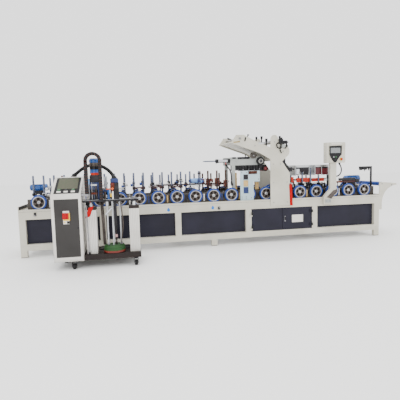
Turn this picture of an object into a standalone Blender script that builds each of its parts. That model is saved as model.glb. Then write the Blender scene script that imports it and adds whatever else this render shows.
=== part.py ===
"""Hot melt profile laminating line with the drum melter that feeds it.

World origin: floor point under the front left foot. +X runs with the work
from infeed to outfeed, +Y away from the operator, +Z up. Metres.
"""
import bpy
import bmesh
from math import cos, pi, radians, sin
from mathutils import Matrix, Vector

# running gap between pieces that touch
GAP = 0.0003

# bench
BAYS = 5
BAY = 1.122
TUBE = 0.090
TUBE_Y = 0.060
DEPTH = 0.800
FOOT_H = 0.100
PANEL_LOW = 0.190
PANEL_HIGH = 0.550
RAIL_TOP = 0.665
LEDGE_TOP = 0.690
LEDGE_Y = 0.070
CROSS_X = 0.060
LIP_TOP = 0.740
SHEET = 0.003
DOOR_T = 0.018

LEFT = -TUBE / 2
RIGHT = BAYS * BAY + TUBE / 2
FRONT = -TUBE_Y / 2
BACK = FRONT + DEPTH
POSTS = [i * BAY for i in range(BAYS + 1)]
LEGS = [0.0, BAYS * BAY / 2, BAYS * BAY]

# drive wheels
WHEELS = 19
FIRST_WHEEL = LEFT + 0.2668
LAST_WHEEL = RIGHT - 0.224
PITCH = (LAST_WHEEL - FIRST_WHEEL) / (WHEELS - 1)
WHEEL_X = [FIRST_WHEEL + i * PITCH for i in range(WHEELS)]
WHEEL_Z = 0.785
WHEEL_R = 0.110
WHEEL_T = 0.040
WHEEL_SIDES = 16
SHAFT_R = 0.0125
RIM_R = 0.080
DISH = 0.008

# bearing bars between the wheels, and the clamp posts that stand on them
BAR_T = 0.040
BAR_TOP = 0.830
BAR_INSET = 0.020
BAR_START = LEFT + 0.100
WHEEL_FRONT = (FRONT + 0.080, FRONT + 0.080 + WHEEL_T)
WHEEL_BACK = (BACK - 0.100 - WHEEL_T, BACK - 0.100)
BAR_FRONT = WHEEL_FRONT[1] + BAR_INSET
BAR_BACK = WHEEL_BACK[0] - BAR_INSET - BAR_T
BAR_MID = BAR_FRONT + BAR_T / 2
PIN_R = 0.014
PIN_TOP_FRONT = 1.175
PIN_TOP_BACK = 1.125
PIN_SIDES = 8
PIN_FOOT = 0.020
HOOD_Z = 1.212
BORE_SIDES = 12

# motors on the rear bar
DRIVE_MOTOR_X = (RIGHT - 0.300, RIGHT - 0.010)
FEED_MOTOR_X = (LEFT + 0.045, LEFT + 0.305)

# coating station, placed from the left edge of its column in the fourth bay
PLATE_T = 0.015
COLUMN_LEFT = POSTS[3] + 0.364
COLUMN_RIGHT = COLUMN_LEFT + 0.325
COLUMN_LOW = 0.590
CHEEK_X = (COLUMN_LEFT - 0.610, COLUMN_LEFT - 0.050)
CHEEK_Z = (1.245, 1.375)
ARM_Z = (1.155, CHEEK_Z[0] - GAP)
NIP = (COLUMN_LEFT - 0.122, 1.306)
RED = (COLUMN_LEFT - 0.040, 1.185)
AXLE_R = 0.0125
UNWIND = (COLUMN_LEFT - 0.495, 1.660)
UNWIND_R = 0.015
CYLINDER_X = (CHEEK_X[0] - 0.240, CHEEK_X[0])
CYLINDER_Z = 1.320
CYLINDER_R = 0.032
ROD_R = 0.010
ROD_X = (CYLINDER_X[0] - 0.203, CYLINDER_X[0] + 0.050)

# operator box on the post of the fourth bay
BOX_X = (POSTS[4] + 0.167, POSTS[4] + 0.497)
BOX_Y = (FRONT - 0.075, FRONT + 0.035)
BOX_Z = (1.244, 1.573)
STOP = (POSTS[4] + 0.418, 1.302)
STOP_R = 0.010

# outfeed end: quarter-round cheeks and the two rollers they carry
CHEEK_R = (0.280, 0.290)
CHEEK_FOOT = 0.050
CHEEK_LOW = 0.440
CHEEK_TIP = RIGHT + GAP + CHEEK_FOOT + CHEEK_R[0]
CHEEK_TOP = CHEEK_LOW + 0.120 + CHEEK_R[1]
ROLLERS_OUT = [(RIGHT + 0.050, CHEEK_TOP + 0.022), (CHEEK_TIP - 0.100, CHEEK_TOP + 0.002)]
ROLLER_OUT_R = 0.034

# melter, in front of the first two bays
MELT_X = (0.575, 1.645)
MELT_Y = (-0.890, -0.380)
MELT_Z = (0.105, 0.175)
CABINET_X = (MELT_X[0], MELT_X[0] + 0.360)
CABINET_FRONT = MELT_Y[0] - 0.030
CABINET_TOP = 1.155
COLUMN_W = 0.130
COLUMN_D = 0.150
COLUMN_TOP = 0.775
RAM_X = [CABINET_X[1] + 0.102, MELT_X[1] - 0.069]
RAM_Y = MELT_Y[0] + 0.115
RAM_R = 0.022
HEAD_Z = (0.835, 0.860)
HEAD_X = (CABINET_X[1] + 0.008, MELT_X[1] - 0.005)
HEAD_Y = (RAM_Y - 0.065, RAM_Y + 0.130)
PLATEN_X = (RAM_X[0] + RAM_X[1]) / 2 + 0.003
PLATEN_R = 0.140
PLATEN_Z = (0.180, 0.275)
MAST_X = (CABINET_X[1] + 0.010, CABINET_X[1] + 0.050)
MAST_Y = (MELT_Y[1] - 0.045 + GAP, MELT_Y[1] - 0.005)
MAST_TOP = 1.260
CHAIN_Y = (HEAD_Y[0] - 0.070, HEAD_Y[0] - 0.010)
CHAIN_R = 0.110
CHAIN_T = 0.046
CHAIN_X = CABINET_X[1] + 0.047 + CHAIN_R
CHAIN_LOW = 0.945
CHAIN_TOP = 1.357
CASTER_X = (MELT_X[0] + 0.235, MELT_X[1] - 0.065)
CASTER_Y = (MELT_Y[0] + 0.040, MELT_Y[1] - 0.070)
CASTERS = [(x, y) for y in CASTER_Y for x in CASTER_X]
CASTER_R = 0.036
STEM_R = 0.012

CREAM = (0.560, 0.545, 0.480)
NAVY = (0.036, 0.034, 0.055)
BLUE = (0.020, 0.110, 0.420)
STEEL = (0.600, 0.610, 0.620)
BLACK = (0.018, 0.018, 0.020)


for old in list(bpy.data.objects):
    bpy.data.objects.remove(old, do_unlink=True)


def add_box(bm, x, y, z):
    """Box between the pairs x, y and z."""
    lo = Vector((x[0], y[0], z[0]))
    hi = Vector((x[1], y[1], z[1]))
    place = Matrix.Translation((lo + hi) / 2) @ Matrix.Diagonal((*(hi - lo), 1))
    bmesh.ops.create_cube(bm, size=1, matrix=place)


def add_rod(bm, start, end, radius, sides=12, radius_end=None):
    """Closed round bar from start to end."""
    a = Vector(start)
    b = Vector(end)
    turn = (b - a).to_track_quat("Z", "Y").to_matrix().to_4x4()
    bmesh.ops.create_cone(
        bm, cap_ends=True, segments=sides, radius1=radius,
        radius2=radius if radius_end is None else radius_end,
        depth=(b - a).length, matrix=Matrix.Translation((a + b) / 2) @ turn)


def add_slab(bm, outline, along, span):
    """Outline drawn across one axis and pushed along it."""
    def point(u, v, w):
        if along == "Y":
            return (u, w, v)
        if along == "X":
            return (w, u, v)
        return (u, v, w)
    low = [bm.verts.new(point(u, v, span[0])) for u, v in outline]
    high = [bm.verts.new(point(u, v, span[1])) for u, v in outline]
    bm.faces.new(low)
    bm.faces.new(high)
    for i in range(len(outline)):
        j = (i + 1) % len(outline)
        bm.faces.new((low[i], low[j], high[j], high[i]))


def add_turned(bm, profile, centre, sides, axis="Y"):
    """Closed turned body: profile lists (place along the axis, radius)."""
    rings = []
    for place, radius in profile:
        ring = []
        for i in range(sides):
            a = 2 * pi * (i + 0.5) / sides
            u = centre[0] + radius * cos(a)
            v = centre[1] + radius * sin(a)
            if axis == "Y":
                ring.append(bm.verts.new((u, place, v)))
            elif axis == "X":
                ring.append(bm.verts.new((place, u, v)))
            else:
                ring.append(bm.verts.new((u, v, place)))
        rings.append(ring)
    bm.faces.new(rings[0])
    bm.faces.new(rings[-1])
    for one, two in zip(rings, rings[1:]):
        for i in range(sides):
            j = (i + 1) % sides
            bm.faces.new((one[i], one[j], two[j], two[i]))


def add_welded(bm, boxes):
    """One closed skin round axis-aligned boxes that touch or overlap."""
    cuts = []
    for axis in range(3):
        cuts.append(sorted({round(v, 6) for b in boxes for v in b[axis]}))
    full = set()
    for b in boxes:
        spans = []
        for axis in range(3):
            a = cuts[axis].index(round(b[axis][0], 6))
            c = cuts[axis].index(round(b[axis][1], 6))
            spans.append(range(a, c))
        for i in spans[0]:
            for j in spans[1]:
                for k in spans[2]:
                    full.add((i, j, k))
    verts = {}

    def vert(i, j, k):
        if (i, j, k) not in verts:
            verts[(i, j, k)] = bm.verts.new((cuts[0][i], cuts[1][j], cuts[2][k]))
        return verts[(i, j, k)]
    for cell in sorted(full):
        for axis in range(3):
            for side in (0, 1):
                near = list(cell)
                near[axis] += 1 if side else -1
                if tuple(near) in full:
                    continue
                u, v = [n for n in range(3) if n != axis]
                corners = []
                for du, dv in ((0, 0), (1, 0), (1, 1), (0, 1)):
                    at = list(cell)
                    at[axis] += side
                    at[u] += du
                    at[v] += dv
                    corners.append(vert(*at))
                bm.faces.new(corners)
    bmesh.ops.recalc_face_normals(bm, faces=bm.faces)
    bmesh.ops.dissolve_limit(
        bm, angle_limit=radians(0.5), verts=bm.verts, edges=bm.edges)


def make(name, bm, colour, rough, metal, smooth=False):
    """Turn a bmesh into a named piece with a material of its own."""
    bmesh.ops.recalc_face_normals(bm, faces=bm.faces)
    mesh = bpy.data.meshes.new(name)
    bm.to_mesh(mesh)
    bm.free()
    obj = bpy.data.objects.new(name, mesh)
    bpy.context.scene.collection.objects.link(obj)
    mat = bpy.data.materials.new(name)
    mat.use_nodes = True
    shader = mat.node_tree.nodes["Principled BSDF"]
    shader.inputs["Base Color"].default_value = (*colour, 1)
    shader.inputs["Roughness"].default_value = rough
    shader.inputs["Metallic"].default_value = metal
    mesh.materials.append(mat)
    if smooth:
        for face in mesh.polygons:
            face.use_smooth = len(face.vertices) == 4
    return obj


def combine(obj, bm, how):
    """Boolean of a piece with the shapes in bm."""
    bmesh.ops.recalc_face_normals(bm, faces=bm.faces)
    mesh = bpy.data.meshes.new("tool")
    bm.to_mesh(mesh)
    bm.free()
    tool = bpy.data.objects.new("tool", mesh)
    bpy.context.scene.collection.objects.link(tool)
    mod = obj.modifiers.new("cut", "BOOLEAN")
    mod.operation = how
    mod.solver = "EXACT"
    mod.object = tool
    bpy.context.view_layer.objects.active = obj
    bpy.ops.object.modifier_apply(modifier=mod.name)
    bpy.data.objects.remove(tool, do_unlink=True)


def bore_r(pin, sides=BORE_SIDES):
    """Corner radius of a faceted bore that clears a round pin."""
    return (pin + GAP) / cos(pi / sides)


# bench frame
front_y = (FRONT, FRONT + TUBE_Y)
back_y = (BACK - TUBE_Y, BACK)
full_x = (LEFT, RIGHT)
between_y = (FRONT + TUBE_Y, BACK - TUBE_Y)
boxes = []
for side, ledge in ((front_y, (FRONT, FRONT + LEDGE_Y)), (back_y, (BACK - LEDGE_Y, BACK))):
    boxes.append((full_x, side, (FOOT_H, PANEL_LOW)))
    boxes.append((full_x, side, (PANEL_HIGH, RAIL_TOP)))
    boxes.append((full_x, ledge, (RAIL_TOP, LEDGE_TOP)))
    for x in POSTS:
        boxes.append(((x - TUBE / 2, x + TUBE / 2), side, (PANEL_LOW, PANEL_HIGH)))
    for x in LEGS:
        boxes.append(((x - TUBE / 2, x + TUBE / 2), side, (0.0, FOOT_H)))
for x in POSTS:
    cross = (x - CROSS_X / 2, x + CROSS_X / 2)
    boxes.append((cross, between_y, (RAIL_TOP - TUBE, RAIL_TOP)))
    boxes.append((cross, between_y, (FOOT_H, PANEL_LOW)))
for x in (POSTS[0], POSTS[-1]):
    boxes.append(((x - SHEET, x + SHEET), between_y, (PANEL_LOW, RAIL_TOP - TUBE)))
boxes.append(((LEFT, LEFT + 0.008), (FRONT, BACK), (RAIL_TOP, LIP_TOP)))
bm = bmesh.new()
add_welded(bm, boxes)
frame = make("bench_frame", bm, CREAM, 0.45, 0.0)

# sheet panels behind the front windows and on the back
panel_y = (FRONT + TUBE_Y + GAP, FRONT + TUBE_Y + GAP + SHEET)
panel_z = (PANEL_LOW + GAP, RAIL_TOP - TUBE - GAP)
bm = bmesh.new()
add_box(bm, (POSTS[0] + TUBE / 2 - 0.010, POSTS[3] - CROSS_X / 2 - GAP), panel_y, panel_z)
make("front_panel_left", bm, NAVY, 0.5, 0.0)
bm = bmesh.new()
add_box(bm, (POSTS[4] + CROSS_X / 2 + GAP, POSTS[5] - TUBE / 2 + 0.010), panel_y, panel_z)
make("front_panel_right", bm, NAVY, 0.5, 0.0)
bm = bmesh.new()
add_box(bm, (LEFT + 0.020, RIGHT - 0.020), (BACK + GAP, BACK + GAP + SHEET), (0.150, 0.590))
make("rear_panel", bm, NAVY, 0.5, 0.0)

# double doors of the fourth bay, hinge axes in front of the posts
DOOR_EDGES = (POSTS[3] + TUBE / 2, POSTS[4] - TUBE / 2)
HINGE_Y = FRONT - 0.012
HINGE_IN = 0.002
HINGE_Z = (0.262, 0.478)
HINGE_H = 0.022
BARREL_R = 0.008
DOOR_GAP = 0.006
middle = (DOOR_EDGES[0] + DOOR_EDGES[1]) / 2
for name, edge, way in (("door_left", DOOR_EDGES[0], 1), ("door_right", DOOR_EDGES[1], -1)):
    bm = bmesh.new()
    span = sorted((edge + way * DOOR_GAP, middle - way * 0.003))
    add_box(bm, span, (FRONT, FRONT + DOOR_T), (PANEL_LOW + 0.005, PANEL_HIGH - 0.005))
    door = make(name, bm, NAVY, 0.5, 0.0)
    axis_x = edge + way * HINGE_IN
    bm = bmesh.new()
    for z in HINGE_Z:
        leaf = sorted((edge + way * 0.0055, edge + way * 0.040))
        add_box(bm, leaf, (FRONT - 0.016, FRONT + 0.004), (z - HINGE_H, z + HINGE_H))
    combine(door, bm, "UNION")
    bm = bmesh.new()
    for z in HINGE_Z:
        add_rod(bm, (axis_x, HINGE_Y, z - HINGE_H - GAP), (axis_x, HINGE_Y, z + HINGE_H + GAP), BARREL_R, 10)
    combine(door, bm, "UNION")
    # the lower half of each hinge is on the post, the door's half rests on it
    bm = bmesh.new()
    for z in HINGE_Z:
        low = z - HINGE_H - 2 * GAP - 0.024
        leaf_x = sorted((edge - way * 0.030, axis_x))
        add_box(bm, leaf_x, (HINGE_Y - 0.003, FRONT + 0.002), (low, low + 0.020))
    combine(frame, bm, "UNION")
    bm = bmesh.new()
    for z in HINGE_Z:
        top = z - HINGE_H - 2 * GAP
        add_rod(bm, (axis_x, HINGE_Y, top - 0.026), (axis_x, HINGE_Y, top), BARREL_R, 10)
    combine(frame, bm, "UNION")

# bearing bars with the clamp posts that stand on them
pins_x = [x + shift for x in WHEEL_X for shift in (-PITCH / 4, PITCH / 4)]
work_pins = [x for x in pins_x if x < CHEEK_X[0] - 0.040]
hood_middle = min(range(len(pins_x)), key=lambda i: abs(pins_x[i] - POSTS[4]))
heat_pins = pins_x[hood_middle - 1:hood_middle + 2]
hood_pins = (heat_pins[0], heat_pins[2])
rows = [("front_post_row", BAR_FRONT, PIN_TOP_FRONT), ("rear_post_row", BAR_BACK, PIN_TOP_BACK)]
for name, y0, top in rows:
    bm = bmesh.new()
    add_box(bm, (BAR_START, RIGHT - 0.012), (y0, y0 + BAR_T), (RAIL_TOP + GAP, BAR_TOP))
    row = make(name, bm, STEEL, 0.35, 0.7)
    middle_y = y0 + BAR_T / 2
    bm = bmesh.new()
    for x in work_pins + heat_pins:
        if name == "rear_post_row" and x < FEED_MOTOR_X[1] + 2 * PIN_R:
            continue
        height = HOOD_Z - GAP if x in hood_pins else top
        add_rod(bm, (x, middle_y, BAR_TOP - PIN_FOOT), (x, middle_y, height), PIN_R, PIN_SIDES)
    combine(row, bm, "UNION")
    bm = bmesh.new()
    for x in WHEEL_X:
        add_rod(bm, (x, y0 - 0.01, WHEEL_Z), (x, y0 + BAR_T + 0.01, WHEEL_Z), bore_r(SHAFT_R), BORE_SIDES)
    combine(row, bm, "DIFFERENCE")

# wheel sets: front wheel, shaft, back wheel, both wheels dished on their outer side
for number, x in enumerate(WHEEL_X, 1):
    bm = bmesh.new()
    profile = [
        (WHEEL_FRONT[0] + DISH, RIM_R - 0.003), (WHEEL_FRONT[0], RIM_R), (WHEEL_FRONT[0], WHEEL_R),
        (WHEEL_FRONT[1], WHEEL_R), (WHEEL_FRONT[1], SHAFT_R), (WHEEL_BACK[0], SHAFT_R),
        (WHEEL_BACK[0], WHEEL_R), (WHEEL_BACK[1], WHEEL_R), (WHEEL_BACK[1], RIM_R),
        (WHEEL_BACK[1] - DISH, RIM_R - 0.003)]
    add_turned(bm, profile, (x, WHEEL_Z), WHEEL_SIDES)
    make("wheelset_%02d" % number, bm, BLUE, 0.5, 0.0, True)

# motors on the rear bar
motors = [("drive_motor", DRIVE_MOTOR_X, 0.950, 0.062), ("feed_motor", FEED_MOTOR_X, 0.985, 0.052)]
for name, (x0, x1), z, r in motors:
    bm = bmesh.new()
    add_turned(bm, [(x0, r), (x1, r)], (BAR_BACK - 0.015, z), 16, "X")
    motor = make(name, bm, BLUE, 0.4, 0.0, True)
    bm = bmesh.new()
    add_box(bm, (x0 + 0.060, x1 - 0.060), (BAR_BACK, BAR_BACK + BAR_T), (BAR_TOP + GAP, z))
    combine(motor, bm, "UNION")

# station side plates: column, slanting unwind arm, round top and side lobe
LOBE = (COLUMN_LEFT + 0.215, 1.450)
LOBE_R = 0.108
CROWN = (COLUMN_LEFT + 0.070, 1.647)
CROWN_R = 0.062
outline = [(COLUMN_LEFT, COLUMN_LOW), (COLUMN_RIGHT, COLUMN_LOW), (COLUMN_RIGHT, 1.100)]
outline.append((COLUMN_LEFT + 0.195, 1.290))
for a in range(-60, 76, 27):
    outline.append((LOBE[0] + LOBE_R * cos(radians(a)), LOBE[1] + LOBE_R * sin(radians(a))))
for a in range(0, 181, 30):
    outline.append((CROWN[0] + CROWN_R * cos(radians(a)), CROWN[1] + CROWN_R * sin(radians(a))))
ARM_TIP = [(0.067, 1.715), (-0.055, 1.716), (-0.141, 1.596)]
outline += [(COLUMN_LEFT + 0.005, 1.512), (COLUMN_LEFT - 0.242, 1.618)]
outline += [(UNWIND[0] + dx, z) for dx, z in ARM_TIP]
outline += [(COLUMN_LEFT - 0.176, 1.431), (COLUMN_LEFT, 1.331)]
for name, y0 in (("station_plate_front", FRONT - GAP - PLATE_T), ("station_plate_rear", BACK + GAP)):
    bm = bmesh.new()
    add_slab(bm, outline, "Y", (y0, y0 + PLATE_T))
    plate = make(name, bm, CREAM, 0.45, 0.0)
    bm = bmesh.new()
    add_rod(bm, (UNWIND[0], y0 - 0.01, UNWIND[1]), (UNWIND[0], y0 + PLATE_T + 0.01, UNWIND[1]),
            bore_r(UNWIND_R), BORE_SIDES)
    combine(plate, bm, "DIFFERENCE")

# tray and box beam between the side plates
bm = bmesh.new()
tray = [(-0.595, 1.605), (-0.178, 1.455), (0.005, 1.352), (0.005, 1.300), (0.105, 1.300), (0.105, 1.400),
        (0.005, 1.400), (0.005, 1.364), (-0.174, 1.465), (-0.591, 1.615)]
add_slab(bm, [(COLUMN_LEFT + dx, z) for dx, z in tray], "Y", (FRONT, BACK))
make("station_bridge", bm, CREAM, 0.45, 0.0)

# unwind shaft
bm = bmesh.new()
u0 = FRONT - PLATE_T - 0.030
u1 = BACK + PLATE_T + 0.030
add_turned(bm, [(u0, UNWIND_R), (u1, UNWIND_R)], UNWIND, 12)
make("unwind_shaft", bm, STEEL, 0.3, 0.9, True)

# head beam on both bars, its cheeks carry the nip roller
front_bar = (BAR_FRONT, BAR_FRONT + BAR_T)
back_bar = (BAR_BACK, BAR_BACK + BAR_T)
boxes = []
for bar in (front_bar, back_bar):
    boxes.append(((CHEEK_X[0] + 0.025, CHEEK_X[0] + 0.075), bar, (BAR_TOP + GAP, CHEEK_Z[0])))
    boxes.append((CHEEK_X, bar, CHEEK_Z))
boxes.append(((CHEEK_X[0] + 0.080, CHEEK_X[0] + 0.140), (front_bar[1], back_bar[0]), (1.300, 1.360)))
bm = bmesh.new()
add_welded(bm, boxes)
beam = make("head_beam", bm, CREAM, 0.45, 0.0)
axle_y = (BAR_FRONT - 0.060, BAR_BACK + 0.080)
bm = bmesh.new()
add_rod(bm, (NIP[0], axle_y[0], NIP[1]), (NIP[0], axle_y[1], NIP[1]), bore_r(AXLE_R), BORE_SIDES)
combine(beam, bm, "DIFFERENCE")


def roller_profile(disc_y, disc_r, roller_r):
    """Disc in front of the front bar, roller between the bars, axle through both bars."""
    y0 = BAR_FRONT + BAR_T + 0.010
    y1 = BAR_BACK - 0.010
    return [(disc_y, disc_r), (BAR_FRONT - 0.010, disc_r), (BAR_FRONT - 0.010, AXLE_R), (y0, AXLE_R),
            (y0, roller_r), (y1, roller_r), (y1, AXLE_R), (BAR_BACK + BAR_T + 0.015, AXLE_R)]


bm = bmesh.new()
add_turned(bm, roller_profile(BAR_FRONT - 0.055, 0.064, 0.050), NIP, 16)
make("nip_roller", bm, BLACK, 0.5, 0.0, True)

# glue head under the cheeks, with the red roller
boxes = []
for bar in (front_bar, back_bar):
    boxes.append(((COLUMN_LEFT - 0.480, COLUMN_LEFT - 0.005), bar, ARM_Z))
block_x = (COLUMN_LEFT - 0.440, COLUMN_LEFT - 0.310)
boxes.append((block_x, (front_bar[1], back_bar[0]), (ARM_Z[0] + 0.010, 1.235)))
bm = bmesh.new()
add_welded(bm, boxes)
head = make("glue_head", bm, BLACK, 0.5, 0.3)
bm = bmesh.new()
add_rod(bm, (RED[0], axle_y[0], RED[1]), (RED[0], axle_y[1], RED[1]), bore_r(AXLE_R), BORE_SIDES)
combine(head, bm, "DIFFERENCE")
bm = bmesh.new()
add_turned(bm, roller_profile(BAR_FRONT - 0.045, 0.044, 0.044), RED, 16)
make("red_roller", bm, (0.420, 0.020, 0.025), 0.4, 0.0, True)

# air cylinder on the end of the front cheek, and its rod
bm = bmesh.new()
profile = [(CYLINDER_X[0], CYLINDER_R), (CYLINDER_X[1] - GAP, CYLINDER_R)]
add_turned(bm, profile, (BAR_MID, CYLINDER_Z), 16, "X")
cylinder = make("air_cylinder", bm, STEEL, 0.3, 0.9, True)
bm = bmesh.new()
add_rod(bm, (CYLINDER_X[0] - 0.01, BAR_MID, CYLINDER_Z), (CYLINDER_X[1] - 0.012, BAR_MID, CYLINDER_Z),
        bore_r(ROD_R), BORE_SIDES)
combine(cylinder, bm, "DIFFERENCE")
bm = bmesh.new()
add_turned(bm, [(ROD_X[0], ROD_R), (ROD_X[1], ROD_R)], (BAR_MID, CYLINDER_Z), 12, "X")
make("piston_rod", bm, STEEL, 0.2, 1.0, True)

# slotted plate standing on the ledge
x0 = COLUMN_LEFT - 0.483
outline = [(x0, LEDGE_TOP + GAP), (x0 + 0.216, LEDGE_TOP + GAP), (x0 + 0.216, 0.985), (x0 + 0.320, 0.985),
           (x0 + 0.320, 1.155), (x0, 1.155)]
plate_y = (FRONT + 0.030, FRONT + 0.042)
bm = bmesh.new()
add_slab(bm, outline, "Y", plate_y)
plate = make("head_plate", bm, (0.480, 0.600, 0.620), 0.4, 0.0)
bm = bmesh.new()
add_box(bm, (x0 + 0.050, x0 + 0.133), (plate_y[0] - 0.01, plate_y[1] + 0.01), (0.800, 1.100))
combine(plate, bm, "DIFFERENCE")

# heater hoods, open below, on the taller posts, and the lamp bar behind the front posts
HOOD_W = 0.245
HOOD_LOW = 1.050
HOOD_WALL = 0.008
for name, x0 in (("heater_hood_1", hood_pins[0] - 0.13015), ("heater_hood_2", hood_pins[1] - 0.07955)):
    x1 = x0 + HOOD_W
    w = HOOD_WALL
    outline = [(x0, HOOD_LOW), (x0 + w, HOOD_LOW), (x0 + w, HOOD_Z), (x1 - w, HOOD_Z), (x1 - w, HOOD_LOW),
               (x1, HOOD_LOW), (x1, HOOD_Z + w), (x0, HOOD_Z + w)]
    bm = bmesh.new()
    add_slab(bm, outline, "Y", (BAR_FRONT - 0.010, BAR_BACK + BAR_T + 0.010))
    make(name, bm, (0.700, 0.700, 0.700), 0.3, 0.8)
bm = bmesh.new()
lamp_y = BAR_MID + PIN_R + GAP
add_box(bm, (hood_pins[0] - 0.185, x1), (lamp_y, lamp_y + 0.040), (0.935, 1.030))
make("heater_lamps", bm, (0.750, 0.080, 0.020), 0.5, 0.0)

# operator box on its cranked post
x0 = POSTS[4] + 0.137
box_low = BOX_Z[0] - GAP
outline = [(x0, 0.580), (x0 + 0.141, 0.580), (x0 + 0.141, 0.700), (x0 + 0.217, 0.820), (x0 + 0.217, box_low),
           (x0 + 0.108, box_low), (x0 + 0.108, 0.825), (x0, 0.705)]
bm = bmesh.new()
add_slab(bm, outline, "Y", (FRONT - 0.050, FRONT - GAP))
make("control_post", bm, CREAM, 0.45, 0.0)
bm = bmesh.new()
add_box(bm, BOX_X, BOX_Y, BOX_Z)
control = make("control_box", bm, CREAM, 0.45, 0.0)
bm = bmesh.new()
bore = [(STOP[0], y, STOP[1]) for y in (BOX_Y[0] - 0.01, BOX_Y[0] + 0.030)]
add_rod(bm, *bore, bore_r(STOP_R), BORE_SIDES)
combine(control, bm, "DIFFERENCE")
bm = bmesh.new()
profile = [(BOX_Y[0] - 0.032, 2 * STOP_R), (BOX_Y[0] - 0.014, 2 * STOP_R), (BOX_Y[0] - 0.014, STOP_R),
           (BOX_Y[0] + 0.018, STOP_R)]
add_turned(bm, profile, STOP, 12)
make("emergency_stop", bm, (0.600, 0.015, 0.015), 0.35, 0.0, True)

# outfeed bracket: two quarter-round cheeks on an end plate, and two rollers
x0 = RIGHT + GAP
round_z = CHEEK_TOP - CHEEK_R[1]
outline = [(x0, CHEEK_LOW), (x0 + CHEEK_FOOT, CHEEK_LOW)]
for a in range(0, 91, 18):
    outline.append((CHEEK_TIP - CHEEK_R[0] * cos(radians(a)), round_z + CHEEK_R[1] * sin(radians(a))))
outline += [(CHEEK_TIP - 0.015, CHEEK_TOP + 0.026), (x0, CHEEK_TOP + 0.055)]
bm = bmesh.new()
add_slab(bm, outline, "Y", (FRONT, FRONT + 0.012))
add_slab(bm, outline, "Y", (BACK - 0.012, BACK))
bracket = make("outfeed_bracket", bm, CREAM, 0.45, 0.0)
bm = bmesh.new()
add_box(bm, (x0, x0 + 0.012), (FRONT + 0.006, BACK - 0.006), (CHEEK_LOW + 0.010, CHEEK_TOP - 0.150))
combine(bracket, bm, "UNION")
bm = bmesh.new()
for x, z in ROLLERS_OUT:
    add_rod(bm, (x, FRONT - 0.05, z), (x, BACK + 0.05, z), bore_r(ROD_R), BORE_SIDES)
combine(bracket, bm, "DIFFERENCE")
for number, centre in enumerate(ROLLERS_OUT, 1):
    bm = bmesh.new()
    y0 = FRONT + 0.020
    y1 = BACK - 0.020
    profile = [(FRONT - 0.006, ROD_R), (y0, ROD_R), (y0, ROLLER_OUT_R), (y1, ROLLER_OUT_R), (y1, ROD_R),
               (BACK + 0.006, ROD_R)]
    add_turned(bm, profile, centre, 14)
    make("outfeed_roller_%d" % number, bm, BLUE, 0.4, 0.0, True)

# sensor stand at the outfeed end of the front bar
x0 = RIGHT - 0.040
outline = [(x0 - 0.025, BAR_TOP + GAP), (x0, BAR_TOP + GAP), (x0, 1.172), (x0 - 0.235, 1.172),
           (x0 - 0.235, 1.130), (x0 - 0.025, 1.130)]
bm = bmesh.new()
add_slab(bm, outline, "Y", (BAR_MID - 0.012, BAR_MID + 0.012))
make("sensor_stand", bm, BLACK, 0.5, 0.3)

# melter base with its two hollow columns at the front, and the mast behind them
boxes = [(MELT_X, MELT_Y, MELT_Z)]
for x in RAM_X:
    boxes.append(((x - COLUMN_W / 2, x + COLUMN_W / 2), (RAM_Y - COLUMN_D / 2, RAM_Y + COLUMN_D / 2),
                  (MELT_Z[1], COLUMN_TOP)))
boxes.append((MAST_X, MAST_Y, (MELT_Z[1], MAST_TOP)))
bm = bmesh.new()
add_welded(bm, boxes)
base = make("melter_base", bm, (0.620, 0.610, 0.580), 0.4, 0.2)
bm = bmesh.new()
for x in RAM_X:
    add_rod(bm, (x, RAM_Y, 0.220), (x, RAM_Y, COLUMN_TOP + 0.01), bore_r(RAM_R), BORE_SIDES)
for x, y in CASTERS:
    add_rod(bm, (x, y, MELT_Z[0] - 0.01), (x, y, MELT_Z[0] + 0.030), bore_r(STEM_R), BORE_SIDES)
combine(base, bm, "DIFFERENCE")

# melter control cabinet, slanting console on top, arm on its side for the cable chain
cabinet_back = MELT_Y[1] - 0.040
cabinet_low = MELT_Z[1] + GAP
outline = [(CABINET_FRONT, 0.110), (MELT_Y[0] - GAP, 0.110), (MELT_Y[0] - GAP, cabinet_low),
           (cabinet_back, cabinet_low), (cabinet_back, CABINET_TOP), (cabinet_back - 0.110, CABINET_TOP),
           (CABINET_FRONT, CABINET_TOP - 0.210)]
bm = bmesh.new()
add_slab(bm, outline, "X", CABINET_X)
cabinet = make("melter_cabinet", bm, (0.720, 0.710, 0.680), 0.4, 0.0)
bm = bmesh.new()
add_box(bm, (CABINET_X[1] - 0.010, CHAIN_X - CHAIN_R + CHAIN_T), (CHAIN_Y[0] + 0.005, CHAIN_Y[1] - 0.005),
        (CHAIN_LOW - 0.025, CHAIN_LOW - GAP))
combine(cabinet, bm, "UNION")

# crosshead with its two ram rods, a tab in front for the cable chain
bm = bmesh.new()
tab_x = (CHAIN_X + CHAIN_R - 0.060, CHAIN_X + CHAIN_R + 0.010)
add_welded(bm, [(HEAD_X, HEAD_Y, HEAD_Z), (tab_x, (CHAIN_Y[0], HEAD_Y[0]), HEAD_Z)])
cross_head = make("ram_crosshead", bm, BLACK, 0.4, 0.3)
bm = bmesh.new()
for x in RAM_X:
    add_rod(bm, (x, RAM_Y, 0.250), (x, RAM_Y, HEAD_Z[0] + 0.01), RAM_R, 12)
combine(cross_head, bm, "UNION")

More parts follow.
